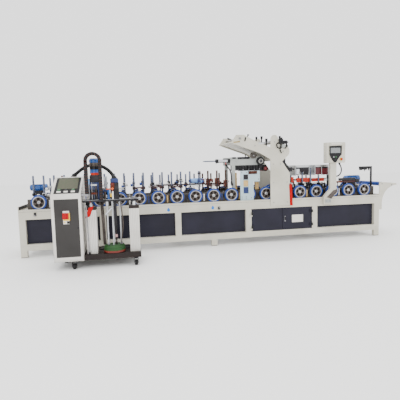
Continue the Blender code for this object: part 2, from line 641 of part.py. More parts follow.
# follower platen and the rods that hang it from the crosshead
bm = bmesh.new()
add_rod(bm, (PLATEN_X, RAM_Y, PLATEN_Z[0]), (PLATEN_X, RAM_Y, PLATEN_Z[1]), PLATEN_R, 24)
platen = make("follower_platen", bm, (0.060, 0.180, 0.050), 0.5, 0.0)
bm = bmesh.new()
for dx, dy in ((-0.070, -0.040), (0.000, 0.050), (0.090, -0.020)):
    add_rod(bm, (PLATEN_X + dx, RAM_Y + dy, PLATEN_Z[1] - 0.01), (PLATEN_X + dx, RAM_Y + dy, HEAD_Z[0] - GAP),
            0.011, 10)
combine(platen, bm, "UNION")

# pump, gearbox and motor on the crosshead
pump_z = HEAD_Z[1] + GAP
pump_x = RAM_X[0] - 0.022
boxes = [((pump_x, pump_x + 0.165), (RAM_Y - 0.060, RAM_Y + 0.080), (pump_z, 1.085)),
         ((pump_x + 0.165, pump_x + 0.272), (RAM_Y - 0.020, RAM_Y + 0.040), (pump_z, 0.945)),
         ((pump_x + 0.272, pump_x + 0.380), (RAM_Y - 0.050, RAM_Y + 0.070), (pump_z, 1.124))]
bm = bmesh.new()
add_welded(bm, boxes)
pump = make("pump_unit", bm, BLUE, 0.4, 0.2)
motor_at = (pump_x + 0.083, RAM_Y + 0.010)
bm = bmesh.new()
add_rod(bm, (*motor_at, 1.065), (*motor_at, 1.386), 0.060, 16)
combine(pump, bm, "UNION")

# cable chain: fixed leg on the cabinet's arm, free leg on the crosshead's tab
outer = []
inner = []
for a in range(0, 181, 20):
    u, v = cos(radians(a)), sin(radians(a))
    outer.append((CHAIN_X + CHAIN_R * u, CHAIN_TOP + CHAIN_R * v))
    inner.insert(0, (CHAIN_X + (CHAIN_R - CHAIN_T) * u, CHAIN_TOP + (CHAIN_R - CHAIN_T) * v))
outline = [(CHAIN_X + CHAIN_R, HEAD_Z[1] + GAP)] + outer + [(CHAIN_X - CHAIN_R, CHAIN_LOW)]
outline.append((CHAIN_X - CHAIN_R + CHAIN_T, CHAIN_LOW))
outline += inner
outline.append((CHAIN_X + CHAIN_R - CHAIN_T, HEAD_Z[1] + GAP))
bm = bmesh.new()
add_slab(bm, outline, "Y", CHAIN_Y)
make("cable_chain", bm, BLACK, 0.5, 0.0)

# casters: stem, plate fork and wheel turn together about the stem
for number, (x, y) in enumerate(CASTERS, 1):
    boxes = [((x - 0.028, x + 0.028), (y - 0.030, y + 0.030), (0.088, 0.096))]
    for side in (-0.028, 0.022):
        boxes.append(((x + side, x + side + 0.006), (y - 0.040, y + 0.010), (0.030, 0.088)))
    bm = bmesh.new()
    add_welded(bm, boxes)
    caster = make("caster_%d" % number, bm, BLACK, 0.5, 0.3)
    bm = bmesh.new()
    add_rod(bm, (x, y, 0.090), (x, y, MELT_Z[0] + 0.022), STEM_R, 12)
    add_rod(bm, (x - 0.026, y - 0.020, CASTER_R), (x + 0.026, y - 0.020, CASTER_R), CASTER_R, 16)
    combine(caster, bm, "UNION")
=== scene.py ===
"""Looks of the hot melt profile laminating line and its drum melter.

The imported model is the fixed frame. Metres, +X with the work from infeed to
outfeed, +Y away from the operator, +Z up, as in the CAD model. Places that are
typed as numbers were set against the photograph through the fitted camera, or
guessed where it shows nothing.
"""
from math import cos, pi, radians, sin

import bpy
from mathutils import Matrix, Vector


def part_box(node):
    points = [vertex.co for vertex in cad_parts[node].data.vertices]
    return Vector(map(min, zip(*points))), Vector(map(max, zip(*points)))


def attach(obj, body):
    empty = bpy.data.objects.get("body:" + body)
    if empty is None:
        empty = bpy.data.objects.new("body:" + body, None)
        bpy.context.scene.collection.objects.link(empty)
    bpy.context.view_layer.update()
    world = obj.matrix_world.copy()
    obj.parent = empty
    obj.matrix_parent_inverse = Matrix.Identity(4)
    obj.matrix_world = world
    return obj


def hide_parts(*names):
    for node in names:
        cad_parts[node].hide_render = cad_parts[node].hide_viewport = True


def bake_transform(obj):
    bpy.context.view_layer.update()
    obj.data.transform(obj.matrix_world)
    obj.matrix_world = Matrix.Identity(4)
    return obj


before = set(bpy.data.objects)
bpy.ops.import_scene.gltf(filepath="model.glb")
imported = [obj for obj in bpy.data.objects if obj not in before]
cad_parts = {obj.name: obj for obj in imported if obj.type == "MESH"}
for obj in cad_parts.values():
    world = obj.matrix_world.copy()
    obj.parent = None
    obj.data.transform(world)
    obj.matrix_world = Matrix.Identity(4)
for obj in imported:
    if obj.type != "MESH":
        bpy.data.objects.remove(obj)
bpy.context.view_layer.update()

# camera, fitted to the photograph
CAMERA_AT = (1.5440, -5.8361, 1.2634)
CAMERA_YAW = radians(10.199)
CAMERA_PITCH = radians(5.165)
CAMERA_ROLL = radians(-1.5305)
CAMERA_LENS = 34.59

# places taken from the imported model
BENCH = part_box("bench_frame")
LEFT = BENCH[0][0]
BAR_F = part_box("front_post_row")
BAR_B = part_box("rear_post_row")
HOOD = [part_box("heater_hood_1"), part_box("heater_hood_2")]
PLATE_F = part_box("station_plate_front")
PLATE_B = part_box("station_plate_rear")
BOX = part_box("control_box")
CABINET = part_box("melter_cabinet")
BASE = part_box("melter_base")
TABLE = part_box("ram_crosshead")
WHEEL_NODES = sorted(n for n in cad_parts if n.startswith("wheelset_"))
WHEEL_X = [(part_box(n)[0][0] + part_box(n)[1][0]) / 2 for n in WHEEL_NODES]
WHEEL_Z = (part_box(WHEEL_NODES[0])[0][2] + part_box(WHEEL_NODES[0])[1][2]) / 2
PITCH = (WHEEL_X[-1] - WHEEL_X[0]) / (len(WHEEL_X) - 1)
# the clamp posts stand this far before and behind each wheel
POST_STEP = PITCH / 4

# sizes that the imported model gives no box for
BAY = 1.122
FRONT = BENCH[0][1] + 0.020
BACK = BENCH[1][1]
LEDGE_TOP = 0.690
BAR_T = 0.040
BAR_TOP = 0.830
BROWN_FROM = 2.690
BAR_FRONT = BAR_F[0][1]
BAR_BACK = BAR_B[0][1]
POST_R = 0.014
POST_TOP_FRONT = 1.175
POST_TOP_BACK = 1.125
HOOD_POST_TOP = 1.2117
STATION = 3.730
RAM_X = (1.037, 1.576)
RAM_Y = -0.775
COLUMN_TOP = 0.775
MAST_X = (0.945, 0.985)
MAST_Y = (-0.4247, -0.385)
TABLE_Y = (RAM_Y - 0.065, RAM_Y + 0.130)
TAB_X = (1.142, 1.212)
TAB_Y = (-0.910, TABLE_Y[0] + 0.004)
CHAIN_LOW = 0.945
FILTER_X = 1.341
CABINET_W = 0.360
HOSE_D = 0.044
CABLE_D = 0.020
CASTER_AT = [(x, y) for y in (-0.850, -0.450) for x in (0.810, 1.580)]

# faces that meet at less than this angle, in degrees, are shaded as one
SMOOTH_BELOW = 35
# gaps between a fitting and the face that it lies on, and above the model's own faces
TOUCH = 0.0002
SEAT = 0.0003


# colours and nodes

def linear(code):
    """sRGB hex code to the linear colour that a shader socket takes."""
    channels = [int(code[i:i + 2], 16) / 255 for i in (1, 3, 5)]
    return (*[c / 12.92 if c <= 0.04045 else ((c + 0.055) / 1.055) ** 2.4 for c in channels], 1.0)


def add_node(tree, kind, sockets=None, **settings):
    """Adds a node; a socket takes a value, or a link where it is given another node's output."""
    made = tree.nodes.new(kind)
    for name, value in settings.items():
        setattr(made, name, value)
    for name, value in (sockets or {}).items():
        if isinstance(value, bpy.types.NodeSocket):
            tree.links.new(value, made.inputs[name])
        else:
            made.inputs[name].default_value = value
    return made


def new_material(name, metallic, roughness, sheen=0.5):
    """Material with its shader, and the object coordinates in metres; sheen is the reflection head on."""
    made = bpy.data.materials.new(name)
    made.use_nodes = True
    tree = made.node_tree
    shader = tree.nodes["Principled BSDF"]
    shader.inputs["Metallic"].default_value = metallic
    shader.inputs["Roughness"].default_value = roughness
    shader.inputs["Specular IOR Level"].default_value = sheen
    place = add_node(tree, "ShaderNodeTexCoord").outputs["Object"]
    return made, tree, shader, place


def two_tones(tree, shader, place, light, dark, size_mm):
    """Base colour that drifts between two tones over patches of the given size."""
    patches = add_node(tree, "ShaderNodeTexNoise", {"Vector": place, "Scale": 1000 / size_mm, "Detail": 3.0})
    ramp = add_node(tree, "ShaderNodeValToRGB", {"Fac": patches.outputs[0]})
    for stop, position, tone in zip(ramp.color_ramp.elements, (0.35, 0.7), (light, dark)):
        stop.position = position
        stop.color = linear(tone)
    tree.links.new(ramp.outputs[0], shader.inputs["Base Color"])


def relief(tree, shader, place, size_mm, height_mm, stretch=(1, 1, 1), strength=0.5):
    """Fine bumps of the given width and height."""
    spread = add_node(tree, "ShaderNodeMapping", {"Vector": place, "Scale": stretch})
    grain = add_node(tree, "ShaderNodeTexNoise",
                     {"Vector": spread.outputs[0], "Scale": 1000 / size_mm, "Detail": 2.0})
    bump = add_node(tree, "ShaderNodeBump", {
        "Height": grain.outputs[0], "Strength": strength, "Distance": height_mm / 1000})
    tree.links.new(bump.outputs[0], shader.inputs["Normal"])


def powder_coat(name, light, dark, roughness=0.42, sheen=0.5):
    """Baked powder coat on steel sheet: an even satin with orange peel, a little soiled in patches.

    The peel is 2 to 3 mm wide on the real sheet, and drawn 6 mm wide so that it shows.
    """
    made, tree, shader, place = new_material(name, 0.0, roughness, sheen)
    two_tones(tree, shader, place, light, dark, 320)
    relief(tree, shader, place, 6, 0.12)
    return made


def bare_metal(name, light, dark, roughness, grain_mm, stretch):
    """Bare metal with the fine lines that its tool left, drawn at grain_mm across them."""
    made, tree, shader, place = new_material(name, 1.0, roughness)
    two_tones(tree, shader, place, light, dark, 90)
    relief(tree, shader, place, grain_mm, 0.05, stretch, 0.35)
    return made


def moulded(name, light, dark, roughness, grain_mm=1.2, sheen=0.4):
    """Moulded plastic or rubber: even colour and the faint grain of the mould."""
    made, tree, shader, place = new_material(name, 0.0, roughness, sheen)
    two_tones(tree, shader, place, light, dark, 60)
    relief(tree, shader, place, grain_mm, 0.05, strength=0.3)
    return made


CREAM = powder_coat("cream_powder_coat", "#C2BEB0", "#B2AEA0")
NAVY = powder_coat("navy_powder_coat", "#201F2C", "#1A1924", 0.5, 0.2)
WHITE_COAT = powder_coat("white_powder_coat", "#D8D5CF", "#C6C2BB", 0.38)
BAR_COAT = powder_coat("dark_bar_coat", "#4A4540", "#36322F", 0.5, 0.3)
GREY_COAT = powder_coat("charcoal_powder_coat", "#363433", "#2E2C2B", 0.5, 0.2)
PALE_BLUE = powder_coat("pale_blue_hammer_coat", "#A9C0C7", "#96AEB6", 0.4)
GREY_HAMMER = powder_coat("grey_hammer_coat", "#A2A6A2", "#8E928F", 0.4)
# cast wheels, turned on the face: soft silver with round tool lines
HUB_ALLOY = bare_metal("cast_aluminium", "#C9CBCE", "#A6A8AC", 0.38, 2.0, (1, 1, 1))
# webs of the wheels, left as cast: duller and browner than the turned rim
CAST_WEB = bare_metal("sand_cast_web", "#625B57", "#463F3B", 0.55, 2.5, (1, 1, 1))
# centreless ground shafting: bright, lines run round the bar
GROUND_STEEL = bare_metal("ground_steel_bar", "#9C9C9F", "#77767A", 0.32, 1.5, (0.2, 0.2, 3))
# clamp posts: the same bar, browned by oil
POST_STEEL = bare_metal("oiled_post_steel", "#62687A", "#454A5A", 0.35, 1.5, (0.2, 0.2, 3))
POST_BROWN = bare_metal("browned_post_steel", "#4C3B36", "#33261F", 0.4, 1.5, (0.2, 0.2, 3))
# bright rolled sheet of the hoods, long lines with the rolling direction
BRIGHT_SHEET = bare_metal("stainless_sheet", "#C6C8C9", "#A8AAAC", 0.28, 3.0, (0.1, 2, 2))
# hard chrome on the ram rods and the piston rod: mirror, faint haze
CHROME = bare_metal("hard_chrome", "#D0D2D4", "#B4B6B9", 0.12, 4.0, (1, 1, 1))
# oxide black on small steel parts, half dull
BLACK_STEEL = bare_metal("blackened_steel", "#3A393B", "#29282A", 0.42, 2.0, (1, 1, 1))
# bronze-red anodised clamp arms
BRONZE = bare_metal("bronze_anodised_bar", "#6B3B2E", "#45231D", 0.4, 2.0, (1, 1, 1))
MAROON = powder_coat("maroon_bar_coat", "#3D1D1C", "#2A1414", 0.45, 0.3)
TYRE = moulded("blue_polyurethane_tyre", "#133A8A", "#0E2D70", 0.5)
BLUE_ENAMEL = powder_coat("blue_motor_enamel", "#184E94", "#123E7A", 0.36)
NAVY_ENAMEL = powder_coat("navy_block_enamel", "#1C2E63", "#15244F", 0.38, 0.4)
SKY_ENAMEL = powder_coat("sky_blue_enamel", "#7FA6DA", "#6A93C9", 0.35)
BLACK_RUBBER = moulded("black_hose_rubber", "#161617", "#0F0F10", 0.6, sheen=0.2)
BLACK_NYLON = moulded("black_nylon", "#18181A", "#101012", 0.5, sheen=0.25)
WHITE_NYLON = moulded("white_nylon", "#E4E2DC", "#D3D0C8", 0.4)
RED_SILICONE = moulded("red_silicone_rubber", "#6E1A1E", "#561418", 0.5)
RED_PLASTIC = moulded("red_button_plastic", "#A80610", "#92040C", 0.35, sheen=0.2)
RED_WEBBING = moulded("red_webbing", "#AC040C", "#980308", 0.75, 3.0, sheen=0.1)
ORANGE_ENAMEL = powder_coat("orange_heater_enamel", "#BC2A08", "#9C2006", 0.45, 0.3)
DARK_BRONZE = powder_coat("dark_bronze_coat", "#201614", "#17100E", 0.5, 0.25)
GREEN_COAT = powder_coat("green_nonstick_coat", "#1E471B", "#163714", 0.5, 0.3)
SEAL_RED = moulded("red_fluoro_rubber_seal", "#6E2014", "#561810", 0.55)
YELLOW_PLASTIC = moulded("yellow_plastic", "#E8BE2C", "#D8AC20", 0.35)
BLUE_PLASTIC = moulded("blue_sign_foil", "#0A6CC0", "#085CA8", 0.35)
ORANGE_PLASTIC = moulded("orange_fitting_plastic", "#D4602A", "#BC4E1E", 0.4)


def screen_glass(name, colour, glow, bands_mm):
    """Lit display under glass: rows of lighter and darker cells, bands_mm high."""
    made, tree, shader, place = new_material(name, 0.0, 0.4, 0.15)
    cells = add_node(tree, "ShaderNodeTexVoronoi", {"Vector": place, "Scale": 1000 / bands_mm},
                     distance="CHEBYCHEV")
    ramp = add_node(tree, "ShaderNodeValToRGB", {"Fac": cells.outputs["Distance"]})
    ramp.color_ramp.elements[0].color = linear(glow)
    ramp.color_ramp.elements[1].color = linear(colour)
    tree.links.new(ramp.outputs[0], shader.inputs["Base Color"])
    return made


DISPLAY_GREEN = screen_glass("green_display_glass", "#39482F", "#4C4638", 26)
DISPLAY_GREY = screen_glass("grey_display_glass", "#6C7073", "#8A8D8E", 20)
PINK_WASHER = moulded("pink_ceramic_collar", "#B58C8C", "#A07A7A", 0.5)
KEY_GREEN = moulded("green_key_cap", "#2A5A35", "#1F4A2A", 0.4)
# ruby quartz plates in front of the heater tubes: deep red, clear gloss
RUBY_GLASS = moulded("ruby_quartz_glass", "#541820", "#3C1017", 0.12)
BRASS = bare_metal("brass_strip", "#9C8448", "#7C6838", 0.35, 2.0, (1, 1, 1))
# laminated phenolic board: tan, faint cloth layers 3 mm apart
TAN_BOARD = moulded("phenolic_board", "#C8A76C", "#AD8C55", 0.55, 3.0)


# modelling by hand

def new_primitive(kind, **settings):
    """Adds a primitive with nothing else selected, and puts its place into its mesh."""
    bpy.ops.object.select_all(action="DESELECT")
    kind(**settings)
    bpy.ops.object.transform_apply(location=True, rotation=True, scale=True)
    return bpy.context.object


def pick(obj):
    """Makes the object the only selected one, and the active one."""
    bpy.ops.object.select_all(action="DESELECT")
    obj.select_set(True)
    bpy.context.view_layer.objects.active = obj


def place_in_scene(name, data):
    """New object for the data, picked."""
    obj = bpy.data.objects.new(name, data)
    bpy.context.scene.collection.objects.link(obj)
    pick(obj)
    return obj


def clean_mesh(distance, *steps):
    """Edit mode on the picked object: the steps, then doubles merged and faces turned outward."""
    bpy.ops.object.mode_set(mode="EDIT")
    bpy.ops.mesh.select_all(action="SELECT")
    for step, settings in steps:
        step(**settings)
        bpy.ops.mesh.select_all(action="SELECT")
    bpy.ops.mesh.remove_doubles(threshold=distance)
    bpy.ops.mesh.normals_make_consistent(inside=False)
    bpy.ops.object.mode_set(mode="OBJECT")


def soften(obj, edge, angle=30):
    """Rounds the edges that are sharper than the angle."""
    mod = obj.modifiers.new("soften", "BEVEL")
    mod.width = edge
    mod.segments = 2
    mod.limit_method = "ANGLE"
    mod.angle_limit = radians(angle)
    mod.use_clamp_overlap = True
    use_modifier(obj, mod)
    return obj


def use_modifier(obj, mod):
    pick(obj)
    bpy.ops.object.modifier_apply(modifier=mod.name)


def cut(obj, tools):
    """Takes the tools' shapes out of the piece and removes them."""
    tool = join(tools)
    mod = obj.modifiers.new("cut", "BOOLEAN")
    mod.operation = "DIFFERENCE"
    mod.solver = "EXACT"
    mod.object = tool
    use_modifier(obj, mod)
    bpy.data.objects.remove(tool, do_unlink=True)
    return obj


def join(parts):
    """Joins pieces into the first one; each keeps its material."""
    if len(parts) > 1:
        bpy.ops.object.select_all(action="DESELECT")
        for part in parts:
            part.select_set(True)
        bpy.context.view_layer.objects.active = parts[0]
        bpy.ops.object.join()
    return parts[0]


def paint(obj, material):
    obj.data.materials.clear()
    obj.data.materials.append(material)
    return obj


def block(x, y, z, material, edge=0.002):
    """Square-cut bar or plate between the pairs x, y and z, edges broken."""
    middle = [(a + b) / 2 for a, b in (x, y, z)]
    size = [abs(b - a) for a, b in (x, y, z)]
    obj = new_primitive(bpy.ops.mesh.primitive_cube_add, size=1, location=middle, scale=size)
    if edge:
        soften(obj, min(edge, min(size) * 0.3))
    return paint(obj, material)


def bar(start, end, radius, material, edge=0.0015, sides=24):
    """Round bar from start to end, its rims chamfered."""
    a = Vector(start)
    b = Vector(end)
    turn = (b - a).to_track_quat("Z", "Y").to_euler()
    obj = new_primitive(bpy.ops.mesh.primitive_cone_add, vertices=sides, radius1=radius, radius2=radius,
                        depth=(b - a).length, location=(a + b) / 2, rotation=turn)
    if edge:
        soften(obj, min(edge, radius * 0.4), 50)
    pick(obj)
    bpy.ops.object.shade_smooth_by_angle(angle=radians(SMOOTH_BELOW))
    return paint(obj, material)


def turned(profile, centre, axis, material, sides=32):
    """Turned part: profile lists (place along the axis, radius) and is spun about the axis."""
    mesh = bpy.data.meshes.new("profile")
    mesh.from_pydata([(r, 0, p) for p, r in profile], [(i, i + 1) for i in range(len(profile) - 1)], [])
    obj = place_in_scene("profile", mesh)
    clean_mesh(1e-5, (bpy.ops.mesh.spin, {
        "steps": sides, "angle": 2 * pi, "center": (0, 0, 0), "axis": (0, 0, 1)}))
    turn = {"X": Matrix.Rotation(pi / 2, 4, "Y"), "Y": Matrix.Rotation(-pi / 2, 4, "X"),
            "Z": Matrix.Identity(4)}[axis]
    mesh.transform(Matrix.Translation(centre) @ turn)
    bpy.ops.object.shade_smooth_by_angle(angle=radians(SMOOTH_BELOW))
    return paint(obj, material)


def meshed(drawn):
    """Mesh object made from a drawn curve."""
    place_in_scene(drawn.name, drawn)
    bpy.ops.object.convert(target="MESH")
    return bpy.context.object


def cut_plate(outline, plane, start, thickness, material, edge=0.001):
    """Plate cut to an outline drawn in the XZ, YZ or XY plane, with broken edges."""
    drawn = bpy.data.curves.new("outline", "CURVE")
    drawn.dimensions = "2D"
    drawn.fill_mode = "BOTH"
    drawn.extrude = thickness / 2 - edge
    drawn.bevel_depth = edge
    drawn.bevel_resolution = 1
    drawn.offset = -edge
    line = drawn.splines.new("POLY")
    line.points.add(len(outline) - 1)
    for point, (u, v) in zip(line.points, outline):
        point.co = (u, v, 0, 1)
    line.use_cyclic_u = True
    obj = meshed(drawn)
    clean_mesh(1e-6)
    middle = start + thickness / 2
    place = {
        "XZ": Matrix(((1, 0, 0, 0), (0, 0, -1, middle), (0, 1, 0, 0), (0, 0, 0, 1))),
        "YZ": Matrix(((0, 0, 1, middle), (1, 0, 0, 0), (0, 1, 0, 0), (0, 0, 0, 1))),
        "XY": Matrix.Translation((0, 0, middle))}[plane]
    obj.data.transform(place)
    return paint(obj, material)


def swept_tube(points, radius, material, sides=12, spline="POLY"):
    """Tube through close points, or along a smooth line near them where the spline is NURBS."""
    drawn = bpy.data.curves.new("tube", "CURVE")
    drawn.dimensions = "3D"
    drawn.bevel_depth = radius
    drawn.bevel_resolution = sides // 4
    drawn.use_fill_caps = True
    line = drawn.splines.new(spline)
    line.points.add(len(points) - 1)
    for point, place in zip(line.points, points):
        point.co = (*place, 1)
    if spline == "NURBS":
        drawn.resolution_u = 8
        line.use_endpoint_u = True
        line.order_u = 4
    obj = meshed(drawn)
    bpy.ops.object.shade_smooth()
    return paint(obj, material)


def bent_tube(points, radius, material):
    """Round tube or hose along a smooth line through the points."""
    return swept_tube(points, radius, material, spline="NURBS")


def upright(at, span, *rest):
    """Bar along Z at (x, y)."""
    return bar((at[0], at[1], span[0]), (at[0], at[1], span[1]), *rest)


def lengthwise(span, at, *rest):
    """Bar along X at (y, z)."""
    return bar((span[0], at[0], at[1]), (span[1], at[0], at[1]), *rest)


def crosswise(at, span, *rest):
    """Bar along Y at (x, z)."""
    return bar((at[0], span[0], at[1]), (at[0], span[1], at[1]), *rest)


def on_front(x, z, face, depth, material, edge=0.002):
    """Block that lies on a face seen from the front, standing out by the depth."""
    return block(x, (face - depth, face - TOUCH), z, material, edge)


def hex_bolt(centre, axis, size, material=None):
    """Hexagon head with a washer, lying against the face that it holds."""
    way = {"-Y": Vector((0, -1, 0)), "X": Vector((1, 0, 0))}[axis]
    a = Vector(centre)
    washer = bar(a, a + way * size * 0.15, size * 0.75, GROUND_STEEL, 0.0003, 16)
    head = bar(a + way * size * 0.15, a + way * size * 0.65, size * 0.5, material or GROUND_STEEL, 0.0006, 6)
    return join([washer, head])


def copy_of(obj, matrix):
    """Copy with its own mesh, moved in its mesh."""
    made = bpy.data.objects.new(obj.name, obj.data.copy())
    made.data.transform(matrix)
    bpy.context.scene.collection.objects.link(made)
    return made


def piece(name, body, *parts, replaces=()):
    """Names a finished piece and lets it ride on its body."""
    obj = join(list(parts))
    obj.name = name
    obj.data.name = name
    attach(obj, body)
    if replaces:
        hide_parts(*replaces)
    return obj


# camera, floor and lights

def set_camera():
    forward = Vector((sin(CAMERA_YAW) * cos(CAMERA_PITCH), cos(CAMERA_YAW) * cos(CAMERA_PITCH),
                      -sin(CAMERA_PITCH)))
    right = Vector((cos(CAMERA_YAW), -sin(CAMERA_YAW), 0))
    up = right.cross(forward)
    x_axis = right * cos(CAMERA_ROLL) + up * sin(CAMERA_ROLL)
    y_axis = up * cos(CAMERA_ROLL) - right * sin(CAMERA_ROLL)
    seen = bpy.data.cameras.new("photo_camera")
    seen.lens = CAMERA_LENS
    seen.sensor_width = 36.0
    seen.clip_end = 60.0
    holder = bpy.data.objects.new("photo_camera", seen)
    bpy.context.scene.collection.objects.link(holder)
    turn = Matrix((x_axis, y_axis, -forward)).transposed().to_4x4()
    holder.matrix_world = Matrix.Translation(CAMERA_AT) @ turn
    bpy.context.scene.camera = holder


def set_floor():
    made, _, shader, _ = new_material("pale_studio_floor", 0.0, 0.7)
    shader.inputs["Base Color"].default_value = linear("#F9F9F8")
    floor = new_primitive(bpy.ops.mesh.primitive_plane_add, size=60, location=(2.8, 0, -0.002))
    floor.name = "studio_floor"
    paint(floor, made)


def area_light(name, at, aim, size, power):
    lamp = bpy.data.lights.new(name, "AREA")
    lamp.shape = "RECTANGLE"
    lamp.size = size[0]
    lamp.size_y = size[1]
    lamp.energy = power
    holder = bpy.data.objects.new(name, lamp)
    bpy.context.scene.collection.objects.link(holder)
    way = Vector(aim) - Vector(at)
    holder.matrix_world = Matrix.Translation(at) @ way.to_track_quat("-Z", "Y").to_matrix().to_4x4()


def set_lights():
    world = bpy.data.worlds.new("studio_white")
    world.use_nodes = True
    world.node_tree.nodes["Background"].inputs["Color"].default_value = (1.0, 1.0, 1.0, 1.0)
    world.node_tree.nodes["Background"].inputs["Strength"].default_value = 2.0
    bpy.context.scene.world = world
    area_light("front_softbox", (0.5, -6.0, 4.2), (2.8, 0, 0.6), (6.0, 3.0), 150)
    area_light("top_softbox", (2.8, 0.5, 5.0), (2.8, 0.2, 0.0), (8.0, 3.0), 120)
    area_light("right_fill", (9.0, -4.0, 3.0), (4.0, 0, 0.8), (3.0, 3.0), 50)


set_camera()
set_floor()
set_lights()


# cords and hanging pieces, made first

def smooth_path(points, steps=10, ease=20):
    """Close points on a smooth line along the given ones; ease evens out its bends."""
    knots = [Vector(p) for p in points]
    knots = [knots[0] * 2 - knots[1]] + knots + [knots[-1] * 2 - knots[-2]]
    path = []
    for a, b, c, d in zip(knots, knots[1:], knots[2:], knots[3:]):
        for i in range(steps):
            t = i / steps
            path.append(0.5 * (2 * b + (c - a) * t + (2 * a - 5 * b + 4 * c - d) * t ** 2
                               + (3 * b - a - 3 * c + d) * t ** 3))
    path.append(knots[-2])
    for _ in range(ease):
        path[1:-1] = [(a + b * 2 + c) / 4 for a, b, c in zip(path, path[1:], path[2:])]
    return path


def aimed(obj, seat, way):
    """Turns a piece that was made along Z to point the given way, and sets it on its seat."""
    obj.data.transform(Matrix.Translation(seat) @ way.to_track_quat("Z", "Y").to_matrix().to_4x4())
    return obj


def make_hose():
    """Heated hose from the cabinet over the pump to its filter block.

    It passes behind the motor.
    """
    top = CABINET[1][2]
    start = (0.806, -0.479, top + 0.010)
    end = (FILTER_X, RAM_Y + 0.012, 1.1262)
    line = smooth_path([
        start, (0.860, -0.516, 1.209), (0.918, -0.556, 1.250), (0.972, -0.592, 1.281), (1.022, -0.622, 1.297),
        (1.080, -0.645, 1.302), (1.140, -0.659, 1.297), (1.200, -0.672, 1.278), (1.252, -0.690, 1.246),
        (1.295, -0.714, 1.206), (1.326, -0.741, 1.163), end], ease=30)
    hose = swept_tube(line, HOSE_D / 2, BLACK_RUBBER, 20)
    hose.name = "heated_hose"
    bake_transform(hose)
    r = HOSE_D / 2
    for name, body, way in (("hose_boot_cabinet", "line_frame", line[4] - line[0]),
                            ("hose_boot_pump", "ram", line[-5] - line[-1])):
        boot = turned([(0.0, r + 0.0006), (0.0, r + 0.010), (0.012, r + 0.010), (0.016, r + 0.006),
                       (0.046, r + 0.002), (0.048, r + 0.0006), (0.0, r + 0.0006)], (0, 0, 0), "Z",
                       BLACK_NYLON, 28)
        seat = start if body == "line_frame" else end
        aimed(boot, seat, way)
        foot = top if body == "line_frame" else 1.1242
        flange = turned([(foot, 0.0), (foot, r + 0.016), (foot + 0.006, r + 0.016), (foot + 0.014, r + 0.010),
                         (foot + 0.018, r - 0.004), (foot + 0.018, 0.0)], (seat[0], seat[1], 0), "Z",
                         BLACK_NYLON, 28)
        piece(name, body, boot, flange)


def make_box_cable():
    """Cable that leaves the foot of the operator box and loops back into the post."""
    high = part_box("control_post")[1]
    y = high[1] - 0.020
    start = (high[0] + 0.063, y, BOX[0][2])
    end = (high[0], y, 1.020)
    line = smooth_path([
        start, (start[0] + 0.012, y, 1.215), (start[0] + 0.033, y, 1.175), (start[0] + 0.042, y, 1.125),
        (start[0] + 0.029, y, 1.075), (start[0] - 0.008, y, 1.036), end])
    cable = piece("box_cable", "line_frame", swept_tube(line, CABLE_D / 2, BLACK_RUBBER))
    gland = turned([(0.0, CABLE_D / 2 + 0.0004), (0.0, 0.018), (0.008, 0.018), (0.010, 0.015), (0.038, 0.0115),
                    (0.040, CABLE_D / 2 + 0.0004), (0.0, CABLE_D / 2 + 0.0004)], (0, 0, 0), "Z", BLACK_NYLON,
                    20)
    piece("box_cable_gland", "line_frame", aimed(gland, start, line[3] - line[0]))


def make_air_hose():
    """Air hose from the cylinder's tail down the front of the head beam into its elbow."""
    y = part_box("air_cylinder")[0][1] + 0.0314
    line = smooth_path([(3.048, y, 1.262), (3.066, y - 0.004, 1.236), (3.096, y - 0.016, 1.200),
                        (3.119, y - 0.030, 1.142), (3.128, y - 0.036, 1.060), (3.128, y - 0.036, 0.962)])
    hose = piece("air_hose", "line_frame", swept_tube(line, 0.010, BLACK_RUBBER, 16))
    collar = turned([(-0.006, 0.0104), (-0.006, 0.015), (0.006, 0.015), (0.024, 0.0118), (0.026, 0.0104),
                     (-0.006, 0.0104)], (0, 0, 0), "Z", BLACK_NYLON, 20)
    aimed(collar, line[0], line[3] - line[0])
    port = upright((3.048, y), (1.2895, 1.262), 0.0085, RED_PLASTIC, 0.001, 16)
    front = BAR_FRONT
    elbow = [upright((3.128, y - 0.036), (0.990, 0.945), 0.0145, BLACK_NYLON, 0.003, 20),
             on_front((3.1205, 3.150), (0.925, 0.962), front, 0.030, BLACK_NYLON, 0.005)]
    piece("air_hose_fittings", "line_frame", collar, port, *elbow)


def make_cloth(name, body, width, drop, top, material, sway, lean):
    """Hanging strip of cloth: a grid drawn out, waved by a few millimetres and given its thickness."""
    obj = new_primitive(bpy.ops.mesh.primitive_grid_add, x_subdivisions=10, y_subdivisions=24, size=1,
                        location=(0, 0, 0))
    for v in obj.data.vertices:
        u = v.co.x * width
        s = (0.5 - v.co.y) * drop
        v.co = (u + sway * 0.5 * sin(5 * s / drop) - lean * s, sway * sin(3.2 * s / drop + 9 * u), lean * u - s)
    obj.data.transform(Matrix.Translation(top))
    mod = obj.modifiers.new("thickness", "SOLIDIFY")
    mod.thickness = 0.0012
    mod.offset = 0
    use_modifier(obj, mod)
    bpy.ops.object.shade_smooth_by_angle(angle=radians(SMOOTH_BELOW))
    made = piece(name, body, paint(obj, material))
    return made


def make_tag_tie():
    """Thin tie that the red tag hangs from, looped over the front edge of the ram's table."""
    y = TABLE_Y[0] - 0.004
    line = smooth_path([(1.034, TABLE_Y[0] - 0.0026, 0.848), (1.036, y, 0.825), (1.048, y - 0.002, 0.798),
                        (1.044, y - 0.004, 0.772)])
    tie = piece("tag_tie", "ram", swept_tube(line, 0.0022, RED_PLASTIC))


# carried over from the model, with their finishes

